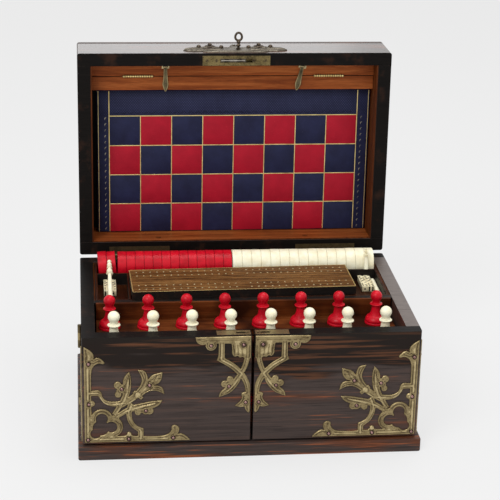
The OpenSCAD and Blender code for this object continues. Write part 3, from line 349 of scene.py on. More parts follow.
# Lid lining: darker sides and a lighter ledge, painted shade and painted light by the way each face turns
MAHOGANY_SHADED_Z = mahogany("mahogany_lid_sides_painted_shade", "Z", 0.42)
MAHOGANY_LIT_LEDGE = mahogany("mahogany_ledge_painted_light", "X", 1)
CRIB_TOP = mahogany("crib_top", "X", 0.66, tones=OLIVE_BROWN, fine=0.45)
TRAY_FLOOR = mahogany("tray_floor", "Y", 0.2, 0.5, fine=0.4)
BRASS = brass("aged_brass", (0.305, 0.236, 0.118), (0.17, 0.124, 0.057), 0.34)
# Darker brass for the relief's grooves: tarnish, and painted shade
BRASS_TARNISH_AND_SHADE = brass("brass_grooves_tarnish_and_shade", (0.135, 0.098, 0.05), (0.085, 0.06, 0.031), 0.44)
# Lighter brass for ridge tops and small bright parts: a painted highlight
BRASS_PAINTED_HIGHLIGHT = brass("brass_ridges_painted_highlight", (0.52, 0.42, 0.225), (0.33, 0.255, 0.13), 0.28)
DULL_BRASS = brass("dull_brass", (0.15, 0.13, 0.1), (0.085, 0.07, 0.052), 0.4)
HINGE_BRASS = brass("hinge_brass", (0.135, 0.102, 0.05), (0.055, 0.041, 0.021), 0.42)
LOCK_BRASS = brass("lock_brass", (0.2, 0.152, 0.064), (0.045, 0.033, 0.015), speckle=0.9)
PIN_METAL = brass("pin_metal", (0.34, 0.2, 0.18), (0.13, 0.065, 0.055), 0.22)
PIN_RING = brass("pin_ring", (0.035, 0.02, 0.017), (0.02, 0.012, 0.01), 0.4)
STEEL = brass("bright_slot", (0.46, 0.43, 0.38), (0.27, 0.24, 0.2), 0.25)
DARK_STEEL = brass("dark_steel", (0.1, 0.085, 0.062), (0.05, 0.04, 0.028), 0.4)
DARK_BRONZE = brass("dark_bronze", (0.085, 0.064, 0.045), (0.03, 0.022, 0.017), 0.34)
WHITE_BONE = bone("white_bone", (0.95, 0.91, 0.7), (0.86, 0.78, 0.54))
DICE_BONE = bone("dice_bone", (0.88, 0.8, 0.54), (0.72, 0.62, 0.38), 0.36)
OLD_BONE = bone("old_bone", (0.54, 0.45, 0.27), (0.38, 0.31, 0.17), 0.4)
RED_BONE = bone("red_bone", (0.6, 0.004, 0.017), (0.41, 0.002, 0.01), specular=0.2)
# Dark rings where the discs touch: painted shade in the gaps between them
RED_GAP_SHADE = bone("red_gap_shade", (0.1, 0.002, 0.006), (0.06, 0.001, 0.004))
WHITE_GAP_SHADE = bone("white_gap_shade", (0.42, 0.36, 0.24), (0.3, 0.25, 0.16))
NAVY = leather("navy_leather", (0.019, 0.022, 0.064), (0.013, 0.014, 0.041))
NAVY_BORDER = leather("navy_border", (0.026, 0.03, 0.076), (0.015, 0.016, 0.044), 0.8, 0.8)
RED_LEATHER = leather("red_leather", (0.43, 0.009, 0.026), (0.345, 0.007, 0.021))
GILT = brass("gilt", (0.82, 0.66, 0.28), (0.52, 0.39, 0.15), 0.38)
NAVY_TOOLED = leather("navy_tooled", (0.01, 0.011, 0.034), (0.006, 0.006, 0.02))
TOOLED = brass("worn_gilt", (0.42, 0.38, 0.28), (0.1, 0.1, 0.12), 0.5)
CATCH_FACE = brass("catch_face", (0.13, 0.108, 0.058), (0.06, 0.048, 0.026), 0.42)
CARD = card_edges()
INK = pip_ink()


# Mesh building
class Shape:
    """Points and faces in millimetres, gathered into one piece. Paint is a material's number, or a list by face."""

    def __init__(self):
        self.points = []
        self.faces = []
        self.paints = []

    def add(self, points, faces, place=CASE, paint=0):
        start = len(self.points)
        flip = place.determinant() < 0
        self.points.extend(place @ Vector(p) for p in points)
        for face in faces:
            ring = [start + i for i in face]
            self.faces.append(ring[::-1] if flip else ring)
        self.paints += paint if isinstance(paint, list) else [paint] * len(faces)
        return self

    def piece(self, name, body, slot, *materials, replaces=(), crease=35):
        data = bpy.data.meshes.new(name)
        data.from_pydata([p / 1000 for p in self.points], [], self.faces)
        for material in materials:
            data.materials.append(material)
        data.polygons.foreach_set("material_index", self.paints)
        data.update()
        settle(name, data, body, replaces, crease)


BODY_OF = {node: body for body, nodes in frame["record"]["behaviour"]["bodies"].items() for node in nodes}


def settle(name, data, body, replaces=(), crease=35):
    """Makes a piece of a mesh. Its body is given by its name or by a node on it."""
    piece = bpy.data.objects.new(name, data)
    bpy.context.scene.collection.objects.link(piece)
    if crease:
        data.polygons.foreach_set("use_smooth", [True] * len(data.polygons))
        data.set_sharp_from_angle(angle=math.radians(crease))
    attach(piece, BODY_OF.get(body, body))
    if replaces:
        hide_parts(*replaces)
    return piece


def softened(node, material, width=0.5, faced=(), merge=True):
    """A copy of a CAD node with rounded edges, which stands for it. Faced gives directions with other finishes, some
    of which are painted light or shade.
    """
    data = NODES[node].data.copy()
    data.name = node + "_soft"
    data.materials.clear()
    for one in (material, *(other for _, other in faced)):
        data.materials.append(one)
    work = bmesh.new()
    work.from_mesh(data)
    bmesh.ops.remove_doubles(work, verts=work.verts, dist=1e-6)
    if merge:
        bmesh.ops.dissolve_limit(work, angle_limit=math.radians(0.6), verts=work.verts, edges=work.edges)
    sharp = [e for e in work.edges if len(e.link_faces) == 2 and e.calc_face_angle(0) > math.radians(40)]
    bmesh.ops.bevel(work, geom=sharp, offset=width / 1000, offset_type="OFFSET", segments=2, profile=0.5,
                    affect="EDGES", clamp_overlap=True)
    bmesh.ops.dissolve_degenerate(work, dist=2e-6, edges=work.edges)
    work.normal_update()
    for face in work.faces:
        face.material_index = 0
        for number, (way, _) in enumerate(faced, 1):
            if face.normal.dot(way) > 0.72:
                face.material_index = number
    work.to_mesh(data)
    work.free()
    piece = settle(node + "_soft", data, node, (node,), 30)
    piece.modifiers.new("even_shading", "WEIGHTED_NORMAL").keep_sharp = True


def welded(node):
    """A working copy of a CAD node's mesh with its points joined."""
    work = bmesh.new()
    work.from_mesh(NODES[node].data)
    bmesh.ops.remove_doubles(work, verts=work.verts, dist=2e-6)
    return work


def groups_in(work):
    """The vertices of each separate solid of a mesh."""
    left = set(work.verts)
    groups = []
    while left:
        group = [left.pop()]
        for v in group:
            for edge in v.link_edges:
                other = edge.other_vert(v)
                if other in left:
                    left.remove(other)
                    group.append(other)
        groups.append(group)
    return groups


def clouds_of(node, place=CASE):
    """The points of each separate solid of a CAD node, in a local frame."""
    work = welded(node)
    clouds = [in_mm(group, place) for group in groups_in(work)]
    work.free()
    return clouds


def solids_of(node, place=CASE):
    """The lowest and highest corners of each separate solid of a CAD node, in a local frame."""
    boxes = ((cloud.min(0), cloud.max(0)) for cloud in clouds_of(node, place))
    return sorted(boxes, key=lambda box: tuple(np.round(box[0], 2)))


def slab(low, high, round_mm=0.4, segments=2):
    """Points and faces of a box with rounded edges."""
    work = bmesh.new()
    bmesh.ops.create_cube(work, size=1)
    size = Vector(high) - Vector(low)
    centre = (Vector(high) + Vector(low)) / 2
    for v in work.verts:
        v.co = Vector((v.co.x * size.x, v.co.y * size.y, v.co.z * size.z)) + centre
    bmesh.ops.bevel(work, geom=list(work.edges), offset=min(round_mm, min(size) * 0.45), offset_type="OFFSET",
                    segments=segments, profile=0.5, affect="EDGES", clamp_overlap=True)
    work.verts.index_update()
    made = [tuple(v.co) for v in work.verts], [[v.index for v in f.verts] for f in work.faces]
    work.free()
    return made


def rounded(profile, steps=4):
    """A smooth half profile through the given radii and heights; a point given twice stays sharp."""
    made = [profile[0]]
    last = len(profile) - 1
    for i in range(last):
        before, a, b, after = profile[max(i - 1, 0)], profile[i], profile[i + 1], profile[min(i + 2, last)]
        if math.dist(a, b) < 0.01:
            continue
        before = a if math.dist(before, a) < 0.01 else before
        after = b if math.dist(after, b) < 0.01 else after
        for k in range(1, steps + 1):
            t = k / steps
            made.append(tuple(
                0.5 * (2 * q + (r - p) * t + (2 * p - 5 * q + 4 * r - s) * t * t + (3 * q - p - 3 * r + s) * t ** 3)
                for p, q, r, s in zip(before, a, b, after)))
    return made


def skin(rings):
    """Caps and walls through rings of point numbers. A ring may be one point, and the last may be the first again."""
    faces = [ring for ring in (rings[0][::-1], rings[-1]) if len(ring) > 1 and rings[0] != rings[-1]]
    for low, high in zip(rings, rings[1:]):
        sides = max(len(low), len(high))
        for i in range(sides):
            j = (i + 1) % sides
            corners = low[i % len(low)], low[j % len(low)], high[j % len(high)], high[i % len(high)]
            face = list(dict.fromkeys(corners))
            if len(face) > 2:
                faces.append(face)
    return faces


def lathe(profile, sides=32):
    """Points and faces of a profile of radii and heights turned about z. One that ends where it starts is a ring."""
    points, rings = [], []
    hollow = profile[0] == profile[-1]
    for r, z in profile[:-1] if hollow else profile:
        r = max(r, 0)
        count = sides if r > 1e-4 else 1
        rings.append([len(points) + i for i in range(count)])
        angles = [2 * math.pi * i / sides for i in range(count)]
        points += [(r * math.cos(a), r * math.sin(a), z) for a in angles]
    return points, skin(rings + rings[:hollow])


def tube(points, radius, sides=8, closed=False):
    """Points and faces of a round wire along a line of points."""
    points = [Vector(p) for p in points]
    made = []
    count = len(points)
    for i, p in enumerate(points):
        after = points[(i + 1) % count] if closed or i < count - 1 else p
        before = points[i - 1] if closed or i else p
        way = (after - before).normalized()
        side = way.orthogonal() if i == 0 else side - way * side.dot(way)
        side.normalize()
        up = way.cross(side)
        angles = (2 * math.pi * k / sides for k in range(sides))
        made += [tuple(p + radius * (math.cos(a) * side + math.sin(a) * up)) for a in angles]
    rings = [list(range(start, start + sides)) for start in range(0, len(made), sides)]
    return made, skin(rings + rings[:closed])


def stacked(*levels):
    """Points and faces of a solid through rings of as many points each, given as a ring and its height."""
    count = len(levels[0][0])
    points = [(x, y, z) for ring, z in levels for x, y in ring]
    return points, skin([list(range(start, start + count)) for start in range(0, len(points), count)])


def pad(shape, x0, y0, x1, y1, face, proud, paint=0, place=IN_LID, lip=0.25, sunk=0.05):
    """A thin pad with sloping edges, standing on a face."""
    rings = [[(x0 + i, y0 + i), (x1 - i, y0 + i), (x1 - i, y1 - i), (x0 + i, y1 - i)] for i in (0, lip)]
    shape.add(*stacked((rings[0], face - sunk), (rings[1], face + proud)), place, paint)


# Pierced brass mounts: the outline comes from the CAD plate, and the relief is raised on it
MOUNT_T = 1.2
RELIEF_CELL = 0.5
EDGE_AT = [0, 0.35, 0.8, 1.3, 1.65, 2.05, 2.6, 4.5]
EDGE_HIGH = [0.5, 1.15, 1.45, 1.42, 1.1, 1.1, 1.4, 1.55]
GROOVE, RIDGE, SLOPE = 1.15, 1.5, 0.95


def plate_edges(node, place):
    """The plate's outline in its own plane, as segments: the top face's edges that meet a side face."""
    back = place.inverted()
    work = welded(node)
    turned = back.to_3x3()
    segments = []
    for edge in work.edges:
        if len(edge.link_faces) != 2:
            continue
        outward = [abs((turned @ f.normal).z) for f in edge.link_faces]
        a, b = (back @ (v.co * 1000) for v in edge.verts)
        if max(outward) > 0.9 and min(outward) < 0.4 and min(a.z, b.z) > MOUNT_T - 0.1:
            segments.append((a.x, a.y, b.x, b.y))
    work.free()
    return np.array(segments)


def to_lines(x, y, segments):
    """The distance of each grid point to the nearest of some segments."""
    nearest = np.full(x.shape, 99.0)
    for ax, ay, bx, by in segments:
        dx, dy = bx - ax, by - ay
        along_it = np.clip(((x - ax) * dx + (y - ay) * dy) / max(dx * dx + dy * dy, 1e-9), 0, 1)
        nearest = np.minimum(nearest, np.hypot(x - ax - along_it * dx, y - ay - along_it * dy))
    return nearest


def inside(x, y, segments):
    """Whether each grid point lies inside the outline, by counting the edges to its right."""
    odd = np.zeros(x.shape, bool)
    for ax, ay, bx, by in segments:
        if ay != by:
            crosses = ((ay > y) != (by > y)) & (x < ax + (y - ay) * (bx - ax) / (by - ay))
            odd ^= crosses
    return odd


def smooth_line(points):
    made = rounded(points, 5)
    return [(*a, *b) for a, b in zip(made, made[1:])]


def relief(node, name, plane, strands=(), veins=(), bosses=(), metals=(BRASS, BRASS_TARNISH_AND_SHADE, BRASS_PAINTED_HIGHLIGHT)):
    """Turns a flat pierced plate into cast and engraved brass."""
    outline = plate_edges(node, plane)
    low = outline.reshape(-1, 2).min(0) - 0.93 * RELIEF_CELL
    high = outline.reshape(-1, 2).max(0) + RELIEF_CELL
    x, y = np.meshgrid(np.arange(low[0], high[0] + RELIEF_CELL, RELIEF_CELL),
                       np.arange(low[1], high[1] + RELIEF_CELL, RELIEF_CELL))
    depth = to_lines(x, y, outline) * np.where(inside(x, y, outline), 1, -1)
    height = np.interp(depth, EDGE_AT, EDGE_HIGH)
    for line in strands:
        away = to_lines(x, y, smooth_line(line))
        height += np.interp(away, [0, 0.5, 1, 1.6, 2.2], [0.3, 0.22, -0.1, -0.22, 0])
    for line in veins:
        away = to_lines(x, y, smooth_line(line))
        height -= 0.5 * np.exp(-(away / 0.42) ** 2)
    for cx, cy, r in bosses:
        away = np.hypot(x - cx, y - cy)
        height += np.interp(away / r, [0, 0.45, 0.8, 1, 1.3], [0.4, 0.35, 0.1, -0.3, 0])
    height = np.clip(height, 0.3, 2.3)

    points, faces, paints = [], [], []
    known = {}

    def spot(key, across_x, across_y, level):
        """The number of a point on the face, which has its twin on the back next to it."""
        if key not in known:
            known[key] = len(points)
            points.extend(((across_x, across_y, level), (across_x, across_y, 0)))
        return known[key]

    solid = depth > 0
    near = solid[:-1, :-1] | solid[1:, :-1] | solid[:-1, 1:] | solid[1:, 1:]
    for i, j in zip(*np.nonzero(near)):
        ring = [(i, j), (i, j + 1), (i + 1, j + 1), (i + 1, j)]
        face = []
        cut = []
        for a, b in zip(ring, ring[1:] + ring[:1]):
            if solid[a]:
                face.append(spot(a, x[a], y[a], height[a]))
            if solid[a] != solid[b]:
                share = depth[a] / (depth[a] - depth[b])
                face.append(spot((min(a, b), max(a, b)), x[a] + share * (x[b] - x[a]), y[a] + share * (y[b] - y[a]),
                                 EDGE_HIGH[0]))
                cut.append((face[-1], solid[a]))
        faces += [face, [k + 1 for k in reversed(face)]]
        cell = slice(i, i + 2), slice(j, j + 2)
        level = height[cell][solid[cell]].mean()
        deep = depth[cell][solid[cell]].mean() > SLOPE
        # High ridges get the lighter brass as a painted highlight; deep grooves get darker brass, tarnish with
        # painted shade
        paints += [1 if level < GROOVE and deep else 2 if level > RIDGE else 0, 0]
        for number, (leaving, from_solid) in enumerate(cut):
            if from_solid:
                entering = cut[(number + 1) % len(cut)][0]
                faces.append([entering, leaving, leaving + 1, entering + 1])
                paints.append(0)
    shape = Shape().add(points, faces, plane, paints)
    shape.piece(name, node, "aged_brass", *metals, replaces=(node,), crease=60)


CORNER_STRANDS = [
    [(4, 52.9), (13.4, 52.9), (15.2, 50), (18.4, 43.4), (26, 40.8), (35, 41.4), (44, 42.4), (51, 49.2)],
    [(54.3, 3), (54.3, 12), (48.6, 16.4), (44, 24), (42.8, 32), (45.6, 40)],
    [(29, 29.4), (36, 40), (41, 52), (42.8, 66)],
    [(31.4, 27.4), (42, 33.6), (56, 37.6), (68, 41)],
    [(3.4, 5), (3.4, 36)],
    [(3.4, 47), (3.4, 79)],
    [(8, 3.3), (37, 3.3)],
    [(59, 2.8), (80, 2.8)],
]
CORNER_VEINS = [
    [(51.6, 54), (57.2, 61), (57.4, 68), (53.6, 75)],
    [(53, 52.6), (60, 60), (66, 67), (73, 71.6)],
    [(63, 57.6), (67, 64), (70, 70.6)],
    [(66, 66), (70, 67), (74.4, 67)],
    [(54.6, 51), (62, 55), (70, 56), (76, 51.6)],
    [(60, 54), (67, 58), (73.4, 57)],
    [(55.6, 60), (58.8, 66), (58, 74)],
    [(40.4, 53), (43.4, 62), (43, 71)],
    [(38.4, 57), (40.4, 63), (41.6, 69)],
    [(52, 35.6), (62, 37.4), (72, 41.6)],
    [(51, 39), (62, 40.4), (71, 42.6)],
    [(2, 86), (3, 93), (1.2, 99)],
    [(4.6, 86), (8, 84.4), (15, 87)],
    [(6, 87), (8, 87.6), (13, 88.6)],
    [(88, 5), (94, 5), (100, 1.4)],
    [(84, 6), (87.6, 9), (87.4, 14.6)],
    [(9.5, 24), (11.5, 31), (18, 33.6), (24, 29)],
    [(30, 23.4), (35, 18), (34, 10.4), (28, 7.6)],
]
CORNER_BOSSES = [(36.2, 57, 3.8), (59.4, 33.4, 3.8), (62.8, 60.4, 3.4), (6.4, 41.8, 3), (43, 8, 2.6),
                 (51.7, 49.9, 3.4)]
CENTRE_STRANDS = [
    [(-28.6, -9), (-28.6, -24)],
    [(-28.6, -25.4), (-17, -32), (-7, -42), (-3, -52), (-1.6, -62)],
    [(-3.4, -24), (-5.6, -34), (-11.4, -45), (-18, -54), (-27, -62)],
]
CENTRE_VEINS = [
    [(-45, -5), (-24, -5), (-2, -5)],
    [(-51, -3.6), (-47, -5.4), (-43, -5)],
    [(-17.4, -10), (-16.6, -15), (-16, -21)],
    [(-13.4, -10), (-12.6, -16), (-12.6, -20.4)],
    [(-9, -13), (-8.6, -18), (-8, -21.4)],
    [(-4.6, -11), (-4.4, -17), (-4.6, -23)],
    [(-1.4, -11), (-1.4, -17), (-1.6, -23)],
    [(-16.6, -55), (-20, -59), (-27, -63)],
    [(-21.6, -56.6), (-25, -60), (-29, -64)],
    [(-6, -64), (-8, -70), (-13, -74)],
    [(-3, -74), (-3, -78), (-2, -81)],
]
CENTRE_BOSSES = [(-38.8, -10, 4), (-20.9, -53.2, 3.8), (-4.4, -70.6, 3.6), (-7.4, -9.6, 3)]
SIDE_STRANDS = [
    [(-3.4, 5), (-3.4, 36)],
    [(-3.4, 50), (-3.4, 79)],
    [(-4, 45.6), (-16, 43), (-17.8, 31)],
    [(-17.8, 29), (-17.4, 16), (-11, 6)],
]
SIDE_BOSSES = [(-19, 30, 4)]
CORNER_IN = local_box("left_corner_mount", ON_FRONT)[0]
CENTRE_IN = local_box("left_centre_mount", ON_FRONT)[1]
SIDE_IN = local_box("left_side_mount", ON_LEFT)
AT_CORNER = ON_FRONT @ shift(CORNER_IN[0], CORNER_IN[1], 0)
AT_CENTRE = ON_FRONT @ shift(CENTRE_IN[0], CENTRE_IN[1] + 1, 0)
AT_SIDE = ON_LEFT @ shift(SIDE_IN[1][0], SIDE_IN[0][1], 0)


for side, across in SIDES:
    for kind, plane, *lines in (("corner", AT_CORNER, CORNER_STRANDS, CORNER_VEINS, CORNER_BOSSES),
                                ("centre", AT_CENTRE, CENTRE_STRANDS, CENTRE_VEINS, CENTRE_BOSSES),
                                ("side", AT_SIDE, SIDE_STRANDS, (), SIDE_BOSSES)):
        relief(f"{side}_{kind}_mount", f"{side}_{kind}_brass", across @ plane, *lines)

# Domed pins of the mounts, on the places of the CAD pins, each in its dark countersink
PIN_DOME = rounded([(1.5, 1.2), (1.5, 1.6), (1.3, 2.1), (0.8, 2.5), (0, 2.6)], 3)
PIN_SEAT = [(2.3, 1), (2.3, 1.62), (2, 1.85), (1.45, 1.7), (1.45, 1), (2.3, 1)]
for side, across in SIDES:
    pins = Shape()
    node = side + "_mount_pins"
    for plane in (across @ ON_FRONT, across @ ON_LEFT):
        for low, high in solids_of(node, plane):
            if low[2] > -1.5:
                middle = plane @ shift((low[0] + high[0]) / 2, (low[1] + high[1]) / 2, 0)
                pins.add(*lathe(PIN_SEAT, 20), middle, 1).add(*lathe(PIN_DOME, 20), middle)
    pins.piece(side + "_pin_heads", side + "_door", "dark_bronze", PIN_METAL, PIN_RING, replaces=(node,))

# Woodwork: rounded edges on the CAD boards, and ebonised edges where the case and the lid meet. Black is
# also put on the doors' meeting edges and the flap's top edge as painted shade, and the right rim's pale top is a
# painted reflection.
UP = Vector((0, 0, 1))
LID_Y, LID_Z = (IN_LID.to_3x3().col[i].normalized() for i in (1, 2))
CASE_X = Vector((1, 0, 0))
softened("back_panel", WOOD["X"], 0.6, ((UP, RIM_BLACK_AND_GAP_SHADE),))
# The right rim's pale top is a painted reflection; the doors' meeting edges get the rim black as painted shade in
# their gap
for side, rim, inner in (("left", RIM_BLACK_AND_GAP_SHADE, CASE_X), ("right", RIM_PAINTED_REFLECTION, -CASE_X)):
    softened(side + "_side", WOOD["Y"], 0.4, ((UP, rim),))
    softened(side + "_door_front", DOOR_WOOD, 0.7, ((UP, RIM_BLACK_AND_GAP_SHADE), (inner, RIM_BLACK_AND_GAP_SHADE)), False)
    softened(side + "_door_return", WOOD["Y"], 0.3, ((UP, rim),))
    # The racks get the darker mahogany copy, as painted shade
    softened(side + "_rack", MAHOGANY_SHADED_RACK, 0.25)
    softened(side + "_strike_plate", BRASS, 0.15)
for wall, axis, width in (("top", "X", 1), ("back_wall", "X", 0.35), ("left_wall", "Z", 0.3),
                          ("right_wall", "Z", 0.3)):
    softened("lid_" + wall, WOOD[axis], width, ((LID_Z, RIM_BLACK_AND_GAP_SHADE),))
softened("lid_front_wall", WOOD["X"], 0.5, ((LID_Z, RIM_BLACK_AND_GAP_SHADE), (LID_Y, POLISHED)))
softened("plinth", FOOT_WOOD, 1.1)
softened("base_board", WOOD["X"], 0.2)
softened("partition", EBONY, 0.35)
softened("tray", EBONY, 0.35, ((UP, TRAY_FLOOR),))
# The flap's top edge gets the rim black as painted shade in its gap; the batten, racks and lining take lit and shaded
# mahogany copies
for node, material, *faced in (
        ("well_lining", MAHOGANY_Y), ("tray_bearers", MAHOGANY_Y), ("red_rack", MAHOGANY_SHADED_RACK),
        ("lid_batten", MAHOGANY_LIT_BATTEN), ("retaining_flap", MAHOGANY, (LID_Y, RIM_BLACK_AND_GAP_SHADE)),
        ("lid_lining", MAHOGANY_SHADED_Z, (LID_Y, MAHOGANY_LIT_LEDGE), (-LID_Y, MAHOGANY_LIT_LEDGE))):
    softened(node, material, 0.25, faced)
softened("lock_case", LOCK_BRASS, 0.2)
softened("card_packs", CARD, 0.6)

# The men: the CAD shapes of the major pieces, and pawns turned afresh on the places of theirs
PAWN_FOOT = [(0, 0), (9.6, 0), (10.6, 0.5), (10.9, 1.4), (10.9, 1.4), (10.6, 2.6), (10.1, 2.9), (10.1, 2.9),
             (10.4, 4.2), (10.1, 5.8), (8.6, 8), (6.4, 9.4), (6.4, 9.4), (6, 10.2), (4.9, 13), (4.2, 17.4),
             (4.1, 20), (4.1, 20), (5.9, 20.4), (6.35, 21.1), (5.9, 21.8), (4.1, 22.2), (4.1, 22.2), (3.8, 23.1),
             (4, 24.1)]
PAWN_TALL = 35.3
BALL_R = 5.8
BALL = [(BALL_R * math.sin(a), PAWN_TALL - BALL_R - BALL_R * math.cos(a))
        for a in (math.pi * (0.27 + 0.73 * k / 16) for k in range(1, 17))]
PAWN = rounded(PAWN_FOOT, 3) + BALL
for node, material, slot_name in (("red_men", RED_BONE, "red_bone"), ("left_white_men", WHITE_BONE, "white_bone"),
                                  ("right_white_men", WHITE_BONE, "white_bone")):
    work = welded(node)
    feet = []
    gone = []
    for group in groups_in(work):
        points = in_mm(group, CASE)
        low, high = points.min(0), points.max(0)
        if abs(high[2] - low[2] - PAWN_TALL) < 0.4:
            feet.append(((low[0] + high[0]) / 2, (low[1] + high[1]) / 2, low[2]))
            gone += group
    bmesh.ops.delete(work, geom=gone, context="VERTS")
    data = bpy.data.meshes.new(node + "_turned")
    work.to_mesh(data)
    work.free()
    data.materials.append(material)
    settle(node + "_turned", data, node, (node,), 32)
    pawns = Shape()
    for foot in sorted(feet):
        pawns.add(*lathe(PAWN, 40), shift(*foot))
    pawns.piece(node + "_pawns", node, slot_name, material, crease=50)
# The lid's small pins and the catch brackets get the lighter brass, a painted highlight
for node, material in (
        ("case_hinge_leaves", HINGE_BRASS), ("case_hinge_pins", BRASS), ("left_door_leaves", BRASS),
        ("right_door_leaves", BRASS), ("lid_hinge_leaves", HINGE_BRASS), ("lid_small_pins", BRASS_PAINTED_HIGHLIGHT),
        ("flap_fixed_leaves", BRASS), ("catch_brackets", BRASS_PAINTED_HIGHLIGHT), ("flap_leaves", BRASS),
        ("lock_bolt", DARK_STEEL)):
    NODES[node].data.materials.clear()
    NODES[node].data.materials.append(material)


# Turned pieces: each is turned afresh on the axis of its CAD solid
def axes_of(node, flat):
    """Centre frame, radius and length of each separate solid, with z along its shortest or longest way."""
    made = []
    for points in clouds_of(node):
        ways = np.linalg.eigh(np.cov(points.T))[1]
        way = Vector(ways[:, 0 if flat else 2])
        if way.x + way.y + way.z < 0:
            way = -way
        reach = points @ np.array(way)
        middle = Vector((points.max(0) + points.min(0)) / 2)
        middle += way * ((reach.max() + reach.min()) / 2 - middle.dot(way))
        spread = np.linalg.norm(np.cross(points - np.array(middle), np.array(way)), axis=1).max()
        place = shift(*middle) @ way.to_track_quat("Z", "Y").to_matrix().to_4x4()
        made.append((place, spread, reach.max() - reach.min()))
    return sorted(made, key=lambda one: round(one[0].translation.x, 2))


DISC_SIDES = 56
for node, material, gap_shade_material, slot_name in (
        ("red_draughts", RED_BONE, RED_GAP_SHADE, "red_bone"), ("white_draughts", WHITE_BONE, WHITE_GAP_SHADE, "white_bone")):
    discs = Shape()
    for i, (place, r, t) in enumerate(axes_of(node, True)):
        r -= 0.06 * ((i * 5) % 4)
        h = t / 2
        half = [(0, h - 0.5), (r * 0.36, h - 0.5), (r * 0.4, h - 0.15), (r * 0.5, h - 0.1), (r * 0.55, h - 0.6),
                (r * 0.66, h - 0.6), (r * 0.72, h), (r - 0.34, h), (r, h - 0.3), (r, h - 0.55)]
        points, faces = lathe([(a, -b) for a, b in half] + half[::-1], DISC_SIDES)
        # The edge rings where neighbouring discs meet are painted dark, as painted shade
        shaded_rings = (len(half) - 3, len(half) + 1)
        discs.add(points, faces, place, [int((min(face) - 1) // DISC_SIDES in shaded_rings) for face in faces])
    discs.piece(node + "_turned", node, slot_name, material, gap_shade_material, replaces=(node,), crease=30)

TWO = [(-1, -1), (1, 1)]
FOUR = [*TWO, (-1, 1), (1, -1)]
PIPS = {1: [(0, 0)], 2: TWO, 3: [*TWO, (0, 0)], 4: FOUR, 5: [*FOUR, (0, 0)], 6: [*FOUR, (-1, 0), (1, 0)]}
dice = Shape()
for i, (low, high) in enumerate(solids_of("dice")):
    middle = shift(*((low + high) / 2))
    half = (high[0] - low[0]) / 2
    dice.add(*slab((-half, -half, -half), (half, half, half), 0.7, 3), middle)
    up = (4, 2, 3, 5, 2)[i % 5]
    side = 1 if i % 3 else 6
    other = next(n for n in range(1, 7) if n not in (up, 7 - up, side, 7 - side))
    for count, axis, degrees in ((up, "X", 0), (7 - up, "X", 180), (side, "X", 90), (7 - side, "X", -90),
                                 (other, "Y", 90), (7 - other, "Y", -90)):
        spin = turn(axis, degrees)
        for x, y in PIPS[count]:
            spot = middle @ spin @ shift(x * 1.75, y * 1.75, half)
            dice.add(*lathe([(1, 0), (0.95, 0.05), (0, 0.04)], 12), spot, 1)
dice.piece("dice_turned", "dice", "white_bone", DICE_BONE, INK, replaces=("dice",), crease=40)

pegs = Shape()
PLAIN_PEG_L = 45
# Shares of the peg's radius, at percents of its length under its tip
PEG_TURNINGS = [(0.8, 64), (0.6, 40), (0.55, 37), (1.1, 35.4), (1.1, 34.2), (0.5, 32.6), (0.95, 30), (1, 27),
                (0.5, 23), (0.42, 21.6), (0.9, 20), (0.9, 19), (0.36, 17.2), (0.4, 16), (0.8, 14), (0.8, 10.6),
                (0.34, 8.4), (0.36, 7.4), (0.66, 5.4), (0.66, 2.4), (0.3, 0.4)]
for place, r, length in axes_of("pegs", False):
    h = length / 2
    if abs(length - PLAIN_PEG_L) < 2:
        line = [(0, -h), (r * 0.7, -h), (r * 0.95, -h + 1.2)]
        line += [(r * (0.86 + 0.14 * math.cos(k * math.pi)), -h + 2 + (length - 6) * k / 26) for k in range(27)]
        line += [(r * 0.6, h - 2.4), (r * 0.8, h - 1.4), (r * 0.45, h - 0.2), (0, h)]
    else:
        line = [(0, -h), (r * 0.75, -h), (r * 0.85, -h + 1)]
        line += [(r * wide, h - down * length / 100) for wide, down in PEG_TURNINGS] + [(0, h)]
    pegs.add(*lathe(rounded(line, 3), 20), place)
pegs.piece("pegs_turned", "pegs", "white_bone", WHITE_BONE, replaces=("pegs",), crease=50)

# Pegging board: black edges, olive top, a brass line round it and a bone bush in each hole
CRIB_TURN = 1.6
crib_middle = sum(box_mm("cribbage_board"), Vector()) / 2
CRIB = shift(crib_middle.x, crib_middle.y, RIM_Z) @ turn("Z", CRIB_TURN)
crib_low, crib_high = local_box("cribbage_board", CRIB)
softened("cribbage_board", EBONY, 0.25, ((UP, CRIB_TOP),))
trim = Shape()
top = crib_high[2]
(left, front), (right, back) = crib_low[:2], crib_high[:2]
for x0, y0, x1, y1 in ((left, front, right, front + 1.3), (left, back - 0.7, right, back),
                       (left, front, left + 1.1, back), (right - 1.1, front, right, back)):
    pad(trim, x0, y0, x1, y1, top, 0.12, 0, CRIB, 0.1, 0.4)
trim.piece("crib_edging", "cribbage_board", "aged_brass", GILT)
bushes = Shape()
PEG_ROWS = (-0.38, -0.22, 0.22, 0.38)
HOLES_A_ROW = 30
HOLE_STEP = 0.031
MIDDLE_GAP = 0.018
BUSH = [(0.92, -1.2), (0.92, -0.14), (0.84, -0.05), (0.74, 0.06), (0.5, 0), (0.35, -0.2), (0.35, -1.2),
        (0.92, -1.2)]
for row in PEG_ROWS:
    for i in range(HOLES_A_ROW):
        step = i - HOLES_A_ROW / 2 + 0.5
        x = (right - left) * (step * HOLE_STEP + math.copysign(MIDDLE_GAP, step))
        bushes.add(*lathe(BUSH, 10), CRIB @ shift(x, row * (back - front), top))
bushes.piece("crib_bushes", "cribbage_board", "white_bone", OLD_BONE)


